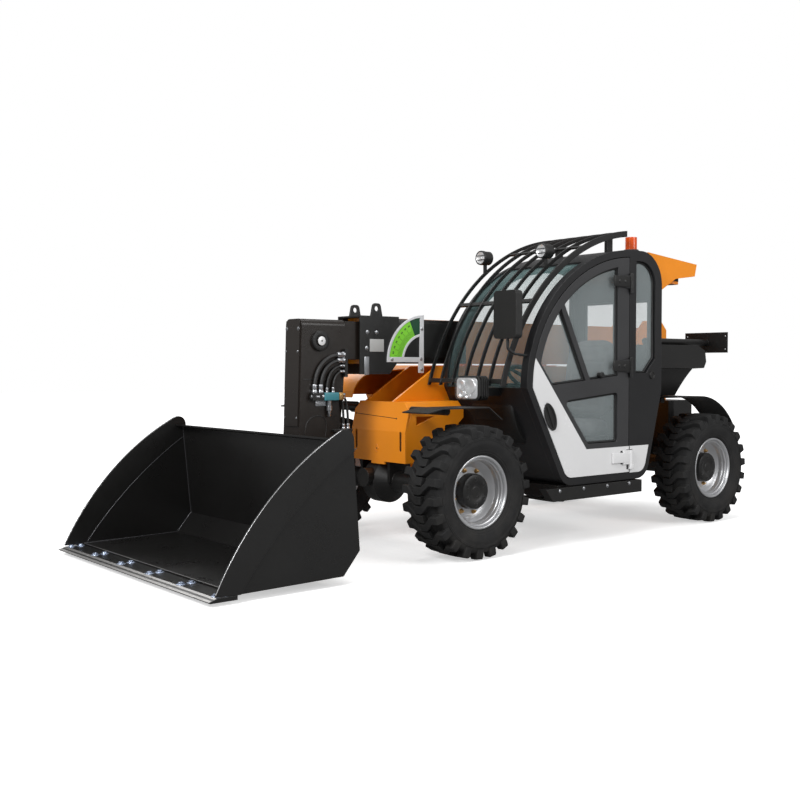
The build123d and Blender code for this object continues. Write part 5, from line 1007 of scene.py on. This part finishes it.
def handle_rim(centre):
    """A thin bright ring round the oval handle: a small round section carried along a turned ellipse."""
    a = np.linspace(0, 2 * np.pi, 72, endpoint=False)
    u, v = HANDLE_LONG * np.cos(a), HANDLE_WIDE * np.sin(a)
    c, s = np.cos(HANDLE_TURN), np.sin(HANDLE_TURN)
    x, z = centre[0] + u * c - v * s, centre[2] + u * s + v * c
    loop = np.stack([x, np.full(len(a), HANDLE_RIM_Y), z], -1)
    b = np.linspace(0, 2 * np.pi, 8, endpoint=False)
    section = np.stack([HANDLE_RIM_R * np.cos(b), HANDLE_RIM_R * np.sin(b)], -1)
    return strip_along(loop[::-1], LEFTWARD, section)


# Lamps, mirror and roof

BEZEL = ((0.84, 0.010), (0.9, 0.016), (1.03, 0.014), (1.06, 0.006), (1.06, -0.012), (1.0, -0.012))
BOWL = ((0, 0.0015), (0.25, 0.002), (0.6, 0.006), (0.86, 0.0125))
BULB = ((0, 0.010), (0.13, 0.009), (0.19, 0.006), (0.2, 0.0))
LENS = ((0, 0.0205), (0.4, 0.0198), (0.7, 0.0172), (0.87, 0.0130), (0.87, 0.0115), (0.6, 0.0150), (0, 0.0180))
WORK_LAMP_LOW, HEAD_LAMP_HIGH, HEAD_LAMP_DEPTH = 1.89, 1.2, 0.088


def lens_set(centre, radius):
    """Bezel, bright bowl with a faint painted glow, and clear lens of a round lamp that looks forward: each
    profile has shares of the lamp's radius, and heights in front of its face."""
    bezel, bowl, bulb, lens = (turned(np.array(profile) * (radius, 1), sides, centre, FORWARD)
                               for profile, sides in ((BEZEL, 48), (BOWL, 48), (BULB, 24), (LENS, 48)))
    bars = [rounded_block(np.asarray(centre) + (0.0115, 0, h), (0.004, radius * 1.5, 0.006), 0.0015, 0.001)
            for h in (-radius * 0.3, radius * 0.3)]
    return joined(bezel, *bars), joined(bowl, bulb), lens


class HANDLER_OT_lamps(bpy.types.Operator):
    """Lenses, bowls and bezels of work lamps and head lamps"""
    bl_idname = "handler.lamps"
    bl_label = "Lamps"

    def execute(self, context):
        points = node_points("lamps")
        high = points[points[:, 2] > WORK_LAMP_LOW]
        middle = high[:, 1].mean()
        for name, side in (("left", high[high[:, 1] > middle]), ("right", high[high[:, 1] < middle])):
            lo, hi = box_of(side)
            radius = (hi[1] - lo[1]) / 2
            centre = np.array([hi[0], (lo[1] + hi[1]) / 2, hi[2] - radius])
            bezel, bowl, lens = lens_set(centre, radius)
            piece("lamp_bezel_" + name, bezel, "moulded", "chassis")
            piece("lamp_bowl_" + name, bowl, "chrome", "chassis")
            piece("lamp_lens_" + name, lens, "clear", "chassis")
        for name, node, body in (("left", "lamps", "chassis"), ("right", "hood_lamp", "hood")):
            points = node_points(node)
            lo, hi = box_of(points[points[:, 2] < HEAD_LAMP_HIGH])
            lo = np.array([hi[0] - HEAD_LAMP_DEPTH, lo[1], lo[2]])
            for part, (shape, coat_name, slot) in head_lamp(lo, hi).items():
                piece(f"head_lamp_{part}_{name}", shape, coat_name, body)
        return {"FINISHED"}


HEAD_BOWLS = ((0.18, 0.08, 0.046), (-0.22, 0.14, 0.032), (-0.20, -0.26, 0.022), (0.06, -0.33, 0.016))


def head_lamp(lo, hi):
    """Square head lamp: ribs round the housing, a bright plate and four bowls with a faint painted glow, and
    a clear cover over it.
    """
    (_, y, z), (_, wide, high) = (lo + hi) / 2, hi - lo

    def slab(x, grow, thick, corner, edge):
        """A rounded plate across the lamp, wider or narrower than its housing."""
        return rounded_block((x, y, z), (wide + grow, high + grow, thick), corner, edge, FACE_FORWARD)

    ribs = [slab(x, 0.012, 0.006, 0.030, 0.002) for x in np.linspace(lo[0] + 0.010, hi[0] - 0.030, 4)]
    rim = slab(hi[0] - 0.004, 0.010, 0.012, 0.030, 0.003)
    plate = slab(hi[0] + 0.004, -0.016, 0.004, 0.024, 0.001)
    cover = slab(hi[0] + 0.011, -0.006, 0.018, 0.028, 0.007)
    bowls = [turned([(0, 0.002), (r * 0.4, 0.004), (r * 0.9, 0.012), (r, 0.012), (r * 1.06, 0.004)], 32,
                    (hi[0] + 0.005, y + u * wide, z + v * high), FORWARD) for u, v, r in HEAD_BOWLS]
    return {"ribs": (joined(rim, *ribs), "moulded", "plastic"),
            "bowl": (joined(plate, *bowls), "chrome", "steel"),
            "lens": (cover, "clear", "glass")}


POD_LAMP_FOOT = (-2.154, 0.656, 1.792)
POD_LAMP = ((0, -0.004), (0.040, -0.002), (0.062, 0.006), (0.0735, 0.020), (0.0735, 0.094))
MIRROR_LOW, MIRROR_BACK_LOW, MIRROR_RIM = 1.36, 1.40, 0.026
BEACON_FOOT = ((0.0, 0.006), (0.0515, 0.006), (0.0545, 0.002), (0.0545, -0.030))
BEACON_HEIGHT = 0.094


class HANDLER_OT_roof(bpy.types.Operator):
    """Dark lamp under the roof pod, mirror glass and the beacon's foot"""
    bl_idname = "handler.roof"
    bl_label = "Roof and mirror"

    def execute(self, context):
        dome = turned(POD_LAMP, 40, from_axle(*POD_LAMP_FOOT))
        piece("pod_lamp", dome, "moulded", "chassis")
        points = node_points("mirror")
        lo, hi = box_of(points[points[:, 2] > MIRROR_LOW])
        back = points[(points[:, 2] > MIRROR_BACK_LOW), 0].min()
        size = (hi[1] - lo[1] - MIRROR_RIM, hi[2] - lo[2] - MIRROR_RIM, 0.003)
        place = (back - 0.0005, (lo[1] + hi[1]) / 2, (hi[2] + lo[2]) / 2)
        glass = rounded_block(place, size, 0.020, 0.001, FACE_FORWARD)
        piece("mirror_glass", glass, "mirror_glass", "chassis")
        lo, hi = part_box("beacon")
        place = ((lo[0] + hi[0]) / 2, (lo[1] + hi[1]) / 2, hi[2] - BEACON_HEIGHT)
        foot = turned(BEACON_FOOT, 40, place)
        piece("beacon_foot", foot, "moulded", "chassis")
        return {"FINISHED"}


# Driver's place

SEAT_LEAN = radians(8.0)
CUSHION_SIZE, CUSHION_CORNER = (0.470, 0.450, 0.101), 0.09
BACK_SIZE, BACK_CORNER = (0.470, 0.560, 0.091), 0.16
PAD_EDGE, PAD_SHARP = 0.038, radians(80)
PAD_CAP, PAD_VOXEL = 0.008, 0.008
STITCH_DEPTH, STITCH_WIDTH = 0.006, 0.007
STITCH_SIDE, STITCH_ROWS = 0.62, 2.5


def inflated(obj, pressure=4.0, last=20):
    """A mesh blown up as cloth for a few frames and settled: the movement of each point is capped."""
    scene = bpy.context.scene
    remesh = obj.modifiers.new("even", "REMESH")
    remesh.mode = "VOXEL"
    remesh.voxel_size = PAD_VOXEL
    even = bpy.data.meshes.new_from_object(obj.evaluated_get(bpy.context.evaluated_depsgraph_get()))
    obj.modifiers.clear()
    obj.data = even
    before = mesh_points(even)
    cloth = obj.modifiers.new("cloth", "CLOTH")
    cloth.settings.use_pressure = True
    cloth.settings.uniform_pressure_force = pressure
    cloth.settings.effector_weights.gravity = 0.0
    for step in range(1, last + 1):
        scene.frame_set(step)
    blown = bpy.data.meshes.new_from_object(obj.evaluated_get(bpy.context.evaluated_depsgraph_get()))
    obj.modifiers.clear()
    scene.frame_set(1)
    moved = mesh_points(blown) - before
    reach = np.linalg.norm(moved, axis=1, keepdims=True)
    return before + moved * np.minimum(1.0, PAD_CAP / np.maximum(reach, 1e-9))


def stitched(points, centre, axes):
    """Sewn channels across a pad: bell curves sink the front along two upright lines and cross lines."""
    u, v, w = ((points - centre) @ axes).T
    half_u, half_v, half_w = np.abs(u).max(), np.abs(v).max(), np.abs(w).max()
    edge = half_u * STITCH_SIDE
    sides = np.exp(-((np.abs(u) - edge) / STITCH_WIDTH) ** 2)
    phase = (v / half_v * STITCH_ROWS + 0.5) % 1.0 - 0.5
    rows = np.exp(-(phase * half_v / STITCH_ROWS / STITCH_WIDTH) ** 2) * (np.abs(u) < edge)
    share = np.clip(w / half_w, 0.0, 1.0)
    return points - np.outer(STITCH_DEPTH * np.maximum(sides, rows) * share, axes[:, 2])


class HANDLER_OT_seat(bpy.types.Operator):
    """Padded seat cushion and back with sewn channels"""
    bl_idname = "handler.seat"
    bl_label = "Seat"

    def execute(self, context):
        lean = np.array([np.cos(SEAT_LEAN), 0.0, np.sin(SEAT_LEAN)])
        rise = np.array([-np.sin(SEAT_LEAN), 0.0, np.cos(SEAT_LEAN)])
        side = np.array([0.0, 1.0, 0.0])
        level = np.stack([side, -np.eye(3)[0], np.eye(3)[2]], 1)
        upright = np.stack([side, rise, lean], 1)
        for node, size, corner, axes in (("seat_cushion", CUSHION_SIZE, CUSHION_CORNER, level),
                                         ("seat_back", BACK_SIZE, BACK_CORNER, upright)):
            lo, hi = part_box(node)
            centre = (np.asarray(lo) + np.asarray(hi)) / 2
            shape = rounded_block(centre, size, corner, PAD_EDGE, axes)
            pad = piece("padded_" + node, shape, "cloth", "chassis", sharp=PAD_SHARP)
            points = stitched(inflated(pad), centre, axes)
            pad.data.vertices.foreach_set("co", points.ravel())
            pad.data.update()
            pad.data.shade_smooth()
            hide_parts(node)
        return {"FINISHED"}


STEERING_CENTRE = (-0.826, 0.500, 1.084)
STEERING_AXIS = np.array([-0.55, 0.0, 0.835])
STEERING_R, GRIP_R = 0.163, 0.0135
STEERING_BOSS = ((0, 0.012), (0.034, 0.010), (0.046, 0.002), (0.046, -0.020), (0.031, -0.030),
                 (0.031, -0.300))
SPOKE_R = (0.016, 0.010)
DASH_X = -0.386
DASH_OUTLINE = ((-0.140, 0.665), (-0.030, 0.955), (-0.165, 0.995), (-0.290, 0.860), (-0.320, 0.665))
DASH_Y = (0.305, 0.305, 0.312, 0.325, 0.675, 0.688, 0.695, 0.695)
DASH_WIDTH = (0.0, 0.90, 0.96, 1.0, 1.0, 0.96, 0.90, 0.0)


def steering_wheel():
    """Rim, boss and three spokes on a slanted axis: the rim is a round section carried round a circle."""
    centre = from_axle(*STEERING_CENTRE)
    b = np.linspace(0, 2 * np.pi, 15)
    section = np.stack([STEERING_R + GRIP_R * np.cos(b), GRIP_R * np.sin(b)], -1)
    rim = turned(section, 64, centre, STEERING_AXIS)
    boss = turned(STEERING_BOSS, 32, centre, STEERING_AXIS)
    tips = around(STEERING_AXIS, 3, STEERING_R, centre, start=np.pi / 2)
    spokes = [tube(np.linspace(centre, tip, 8), np.linspace(*SPOKE_R, 8), 10) for tip in tips]
    return joined(rim, boss, *spokes)


def dashboard():
    """Rounded dash: an outline in side view, softened at its corners, carried across with drawn-in ends."""
    outline = np.array(DASH_OUTLINE)
    middles = (outline + np.roll(outline, -1, 0)) / 2
    before = np.roll(middles, 1, 0)
    t = np.linspace(0, 1, 7)[:-1, None]
    ring = np.concatenate([a * (1 - t) ** 2 + 2 * m * t * (1 - t) + c * t ** 2
                           for a, m, c in zip(before, outline, middles)])
    centre = ring.mean(0)
    flat = centre + (ring[None] - centre) * np.array(DASH_WIDTH)[:, None, None]
    y = np.broadcast_to(np.array(DASH_Y)[:, None], flat.shape[:2])
    return grid(np.stack([AXLE[0] + DASH_X + flat[..., 0], y, flat[..., 1]], -1), loop_cols=True)


class HANDLER_OT_controls(bpy.types.Operator):
    """Steering wheel, column and rounded dash"""
    bl_idname = "handler.controls"
    bl_label = "Controls"

    def execute(self, context):
        wheel = piece("steering_wheel", steering_wheel(), "moulded", "chassis")
        piece("dash", dashboard(), "moulded", "chassis")
        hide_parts("steering_console")
        return {"FINISHED"}


# Nose and bucket trim

NOSE_X, NOSE_BEND, NOSE_SLOPE = 0.112, 0.752, -0.2083
NOSE_NORMAL = (1, 0, 0.2)
NOSE_SLOTS = (-0.235, 0.235)
SLOT_SINK, SLOT_Z, SLOT_SIZE = 0.009, 0.687, (0.0212, 0.1292, 0.003)
SWAGE = ((-0.262, 0.858), (0.175, 0.836))
SWAGE_R = 0.0018
NOSE_DOT = ((0, 0.0022), (0.004, 0.002), (0.0055, 0.0))
TIE_MARK, TIE_R = (-0.011, 0.633), 0.0026
TIE_CORNERS = ((0.020, 0), (0, 0.027), (-0.020, 0), (0, -0.027))


def on_nose(y, z):
    """A place on the nose's front plate, which leans back above its bend."""
    return from_axle(NOSE_X + NOSE_SLOPE * max(z - NOSE_BEND, 0.0), y, z)


class HANDLER_OT_nose(bpy.types.Operator):
    """Dark slot backs that paint the shade inside the slots, a dark swage line that paints the shade in the
    plate's crease, and the tie-down mark on the front plate
    """
    bl_idname = "handler.nose"
    bl_label = "Front plate"

    def execute(self, context):
        # The slot backs are dark sheets that paint the shade inside the slots, and the dark swage line paints
        # the shade in the plate's crease; small dark dots mark the swage's ends and the tie-down mark.
        backs = [rounded_block(from_axle(NOSE_X - SLOT_SINK, y, SLOT_Z), SLOT_SIZE, 0.0105, 0.001,
                               FACE_FORWARD) for y in NOSE_SLOTS]
        dots = [turned(NOSE_DOT, 16, on_nose(*place), NOSE_NORMAL) for place in (*SWAGE, TIE_MARK)]
        line = tube(np.linspace(on_nose(*SWAGE[0]), on_nose(*SWAGE[1]), 12), SWAGE_R, 8)
        piece("nose_shadows", joined(*backs, *dots, line), "seal", "chassis")
        y, z = TIE_MARK
        corners = np.array([on_nose(y + u, z + v) for u, v in TIE_CORNERS])
        sides = [tube(np.linspace(a, b, 5), TIE_R, 8) for a, b in zip(corners, np.roll(corners, -1, 0))]
        piece("tie_mark", joined(*sides), "paint", "chassis")
        return {"FINISHED"}


LIP_TOP, LIP_TIP = np.array([1.863, 0.042]), np.array([1.915, 0.026])
LIP_STRIPS = ((0.03, 0.36), (0.60, 0.93))
STRIP_RISE = 0.0014
STEP_X, STEP_Z, STEP_R = 1.750, 0.0515, 0.002
BEAD_R, BAND_R = 0.0024, 0.0022
LIP_HALF = 0.955
PLATE_FACE, PLATE_OUT = 0.9405, 0.9538
SHELL_LINE = ((1.750, 0.0525), (1.098, 0.0605), (0.994, 0.1835), (1.050, 0.765))
BAND_ARC = ((1.730, 0.060), (1.440, 0.390), (1.000, 0.734))
EDGE_ARC = ((1.872, 0.056), (1.560, 0.500), (1.112, 0.833))


def arc(points, count=60):
    """The circle through three points, first to last: its centre has one distance to all three."""
    a, b, c = np.asarray(points, float)
    centre = np.linalg.solve(2 * np.array([b - a, c - a]), [b @ b - a @ a, c @ c - a @ a])
    angles = np.unwrap([np.arctan2(*(p - centre)[::-1]) for p in (a, b, c)])
    t = np.linspace(angles[0], angles[2], count)
    return centre + np.linalg.norm(a - centre) * np.stack([np.cos(t), np.sin(t)], -1)


def resampled(corners, count=80):
    """Even points along straight legs."""
    corners = np.asarray(corners, float)
    run = np.concatenate([[0], np.cumsum(np.linalg.norm(np.diff(corners, axis=0), axis=1))])
    s = np.linspace(0, run[-1], count)
    return np.stack([np.interp(s, run, corners[:, k]) for k in range(2)], -1)


def bead(line, y, radius):
    """A thin round bead along a line in side view, at one distance from the middle."""
    return tube(np.stack([AXLE[0] + line[:, 0], np.full(len(line), y), line[:, 1]], -1), radius, 8)


def lip_strip(low, high):
    """A bare strip along the lip's bevel: a thin bar between two shares of the bevel, closed at both ends."""
    along = LIP_TIP - LIP_TOP
    up = np.array([-along[1], along[0]]) / np.linalg.norm(along) * STRIP_RISE
    section = np.array([LIP_TOP + low * along, LIP_TOP + low * along + up, LIP_TOP + high * along + up,
                        LIP_TOP + high * along])
    middle = np.broadcast_to(section.mean(0), section.shape)
    flat = np.stack([middle, section, section, middle])
    y = np.array([-LIP_HALF, -LIP_HALF, LIP_HALF, LIP_HALF])[:, None] + np.zeros(4)
    return grid(np.stack([AXLE[0] + flat[..., 0], y, flat[..., 1]], -1), loop_cols=True)


class HANDLER_OT_bucket(bpy.types.Operator):
    """Bare strips on the lip, weld beads inside the bucket coloured paler to paint the highlights along them,
    and pale metal lines on the upper edges of its sides that paint the highlight where those edges catch the
    light
    """
    bl_idname = "handler.bucket"
    bl_label = "Bucket trim"

    def execute(self, context):
        ends = [from_axle(STEP_X, side * PLATE_FACE, STEP_Z) for side in (-1, 1)]
        step = tube(np.linspace(*ends, 4), STEP_R, 8)
        strips = [lip_strip(*span) for span in LIP_STRIPS]
        piece("lip_strips", joined(step, *strips), "steel", "tool")
        # Weld beads at the inner corners and along the bands: real beads, their paler colour a painted
        # highlight.
        corners = [bead(resampled(SHELL_LINE), side * PLATE_FACE, BEAD_R) for side in (-1, 1)]
        bands = [bead(arc(BAND_ARC), side * PLATE_FACE, BAND_R) for side in (-1, 1)]
        piece("weld_beads", joined(*corners, *bands), "bead", "tool")
        # Pale metal lines along the side plates' upper edges: a painted highlight where they catch the light.
        edges = [bead(arc(EDGE_ARC), side * PLATE_OUT, BEAD_R) for side in (-1, 1)]
        piece("worn_edges", joined(*edges), "worn", "tool")
        return {"FINISHED"}


# Fasteners

LIP_BOLT_ROWS, LIP_BOLT = (0.032, 0.093), 0.031
LIP_BOLT_SPAN = np.linspace(-0.918, 0.905, 6)
SILL_BOLTS = [(x, 0.905, 0.369) for x in (-0.676, -0.911, -1.153, -1.389)]
COVER_BOLTS = [(x, y, z) for x, z in ((0.7435, 1.413), (0.747, 1.270), (0.7585, 0.854))
               for y in (-0.128, 0.002)]
COLLAR_BOLTS = ((0.245, 0.062, 1.400), (0.169, 0.062, 1.399), (0.251, 0.062, 1.295))
QUADRANT_BOLTS = ((0.046, 0.070, 1.222), (-0.208, 0.070, 1.226), (-0.214, 0.070, 1.430),
                  (-0.214, 0.070, 1.155))


def lip_bolts():
    """Two rows of bolt heads along the cutting edge."""
    lo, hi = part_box("cutting_edge")
    x, y = np.meshgrid(lo[0] + np.array(LIP_BOLT_ROWS), LIP_BOLT_SPAN)
    places = np.stack([x, y, np.full_like(y, hi[2])], -1).reshape(-1, 3)
    return at_places(bolt((0, 0, 1), LIP_BOLT), places)


def bolt_row(places, axis, across):
    """Bolt heads at places counted from the front axle."""
    return at_places(bolt(axis, across), [from_axle(*place) for place in places])


class HANDLER_OT_fasteners(bpy.types.Operator):
    """Bolt heads on lip, sill, head cover, collar, quadrant and hinges"""
    bl_idname = "handler.fasteners"
    bl_label = "Fasteners"

    def execute(self, context):
        piece("lip_bolts", lip_bolts(), "blue_zinc", "tool")
        piece("sill_bolts", bolt_row(SILL_BOLTS, LEFTWARD, 0.015), "zinc", "chassis")
        piece("cover_bolts", bolt_row(COVER_BOLTS, FORWARD, 0.016), "zinc", "inner_boom")
        piece("collar_bolts", bolt_row(COLLAR_BOLTS, LEFTWARD, 0.017), "zinc", "boom")
        piece("quadrant_bolts", bolt_row(QUADRANT_BOLTS, LEFTWARD, 0.014), "zinc", "boom")
        strap = [(HINGE_X + reach, HINGE_Y + 0.008, z) for z in HINGE_HEIGHTS for reach in (0.075, 0.135)]
        piece("hinge_bolts", bolt_row(strap, LEFTWARD, 0.015), "black", "door")
        return {"FINISHED"}


FLOOR_HALF, FLOOR_DROP = 40, 0.001
CAMERA_PLACE = (4.3664, 5.39362, 1.1727)
CAMERA_TILT, CAMERA_HEADING = radians(90 - 1.82696), radians(140.4998)
CAMERA_LENS, CAMERA_SENSOR, CAMERA_END = 46.54, 36.0, 200.0


class HANDLER_OT_stage(bpy.types.Operator):
    """Pale floor, soft studio light and the camera"""
    bl_idname = "handler.stage"
    bl_label = "Stage"

    def execute(self, context):
        scene = context.scene
        scene.view_settings.view_transform = "Standard"
        line = np.linspace(-FLOOR_HALF, FLOOR_HALF, 3)
        floor_grid = np.stack(np.meshgrid(line, line, indexing="ij"), -1)
        level = np.full((3, 3, 1), CAD_BOX[0][2] - FLOOR_DROP)
        points, faces = grid(np.concatenate([floor_grid, level], -1))
        mesh = bpy.data.meshes.new("floor")
        mesh.from_pydata(points.tolist(), [], faces[:, ::-1].tolist())
        mesh.materials.append(floor_finish())
        floor = bpy.data.objects.new("floor", mesh)
        scene.collection.objects.link(floor)
        studio_world(scene)
        for name, (place, aim, size, power) in LIGHTS.items():
            soft_light(scene, name, place, aim, size, power)
        camera = bpy.data.cameras.new("camera")
        camera.lens = CAMERA_LENS
        camera.sensor_width = CAMERA_SENSOR
        camera.clip_end = CAMERA_END
        holder = bpy.data.objects.new("camera", camera)
        holder.location = tuple(from_axle(*CAMERA_PLACE))
        holder.rotation_euler = (CAMERA_TILT, 0.0, CAMERA_HEADING)
        scene.collection.objects.link(holder)
        scene.camera = holder
        return {"FINISHED"}


LIGHTS = {
    "key": ((7.0, 2.5, 5.0), (0.3, 0.2, 0.8), 3.0, 430.0),
    "side": ((-2.5, 8.0, 4.5), (-0.8, 0.3, 1.0), 4.0, 260.0),
    "top": ((0.0, 0.0, 8.0), (0.0, 0.0, 1.0), 6.0, 240.0),
    "far": ((-2.0, -8.0, 5.0), (0.0, 0.0, 0.9), 5.0, 120.0),
}


def soft_light(scene, name, place, aim, size, power):
    """A round soft lamp turned to a point."""
    lamp = bpy.data.lights.new(name, "AREA")
    lamp.shape = "DISK"
    lamp.size = size
    lamp.energy = power
    holder = bpy.data.objects.new(name, lamp)
    holder.location = place
    holder.rotation_euler = Matrix(basis(np.subtract(place, aim)).tolist()).to_euler()
    scene.collection.objects.link(holder)


def ray_share(tree, gathered, mirrored):
    """One for a ray that looks straight on, less for rays that gather light or look by way of a mirror."""
    path = add(tree, "ShaderNodeLightPath").outputs
    diffuse = math(tree, "MULTIPLY", path["Is Diffuse Ray"], 1.0 - gathered)
    glossy = math(tree, "MULTIPLY", path["Is Glossy Ray"], 1.0 - mirrored)
    return math(tree, "SUBTRACT", 1.0, math(tree, "MAXIMUM", diffuse, glossy))


def studio_world(scene):
    """An even pale surround: white to the eye, softer as light and softer still in mirrors."""
    world = bpy.data.worlds.new("studio")
    world.use_nodes = True
    tree = world.node_tree
    ground = tree.nodes["Background"]
    ground.inputs["Color"].default_value = (1.0, 1.0, 1.0, 1.0)
    tree.links.new(ray_share(tree, 0.40, 0.34), ground.inputs["Strength"])
    scene.world = world


def floor_finish():
    """Plain pale floor: near the machine it takes shadow, and further out it glows to an even white."""
    material = coat("pale_floor", (0.86, 0.86, 0.86), 0.8, drift=0.01, edge_amount=0.0, dust=0.0,
                    grain=(60.0, 0.0001))
    tree = material.node_tree
    shader = tree.nodes["Principled BSDF"]
    place = add(tree, "ShaderNodeTexCoord").outputs["Object"]
    level = add(tree, "ShaderNodeVectorMath", {0: place, 1: (1.0, 1.0, 0.0)}, operation="MULTIPLY")
    reach = add(tree, "ShaderNodeVectorMath", {0: level.outputs["Vector"]}, operation="LENGTH")
    share = ray_share(tree, 0.35, 0.10)
    glow = math(tree, "MULTIPLY", ramp(tree, reach.outputs["Value"], 2.0, 5.5, 0.50, 1.0), share)
    pale = shader.inputs["Base Color"].links[0].from_socket
    tree.links.new(blended(tree, share, (0.03, 0.03, 0.03), pale), shader.inputs["Base Color"])
    shader.inputs["Emission Color"].default_value = (1.0, 1.0, 1.0, 1.0)
    tree.links.new(glow, shader.inputs["Emission Strength"])
    return material


class HANDLER_PT_panel(bpy.types.Panel):
    """Lists the machine's pieces in the sidebar"""
    bl_idname = "HANDLER_PT_panel"
    bl_label = "Telescopic handler"
    bl_space_type = "VIEW_3D"
    bl_region_type = "UI"
    bl_category = "Handler"

    def draw(self, context):
        for group in (context.scene.handler_colours, context.scene.handler_sizes):
            for name in group.__annotations__:
                self.layout.prop(group, name)
        for operator in OPERATORS:
            self.layout.operator(operator.bl_idname)


OPERATORS = (HANDLER_OT_finishes, HANDLER_OT_tyres, HANDLER_OT_rims, HANDLER_OT_hoses, HANDLER_OT_head,
             HANDLER_OT_quadrant, HANDLER_OT_seals, HANDLER_OT_door_trim, HANDLER_OT_lamps, HANDLER_OT_roof,
             HANDLER_OT_seat, HANDLER_OT_controls, HANDLER_OT_nose, HANDLER_OT_bucket, HANDLER_OT_fasteners,
             HANDLER_OT_stage)
CLASSES = (HandlerColours, HandlerSizes, *OPERATORS, HANDLER_PT_panel)


def register():
    """Adds the operators, the panel and the scene's settings."""
    for cls in CLASSES:
        bpy.utils.register_class(cls)
    bpy.types.Scene.handler_colours = bpy.props.PointerProperty(type=HandlerColours)
    bpy.types.Scene.handler_sizes = bpy.props.PointerProperty(type=HandlerSizes)


def unregister():
    """Takes all of it away again."""
    del bpy.types.Scene.handler_sizes
    del bpy.types.Scene.handler_colours
    for cls in reversed(CLASSES):
        bpy.utils.unregister_class(cls)


def main():
    """Builds every piece in order."""
    register()
    for operator in OPERATORS:
        area, name = operator.bl_idname.split(".")
        getattr(getattr(bpy.ops, area), name)()


if __name__ == "__main__":
    main()
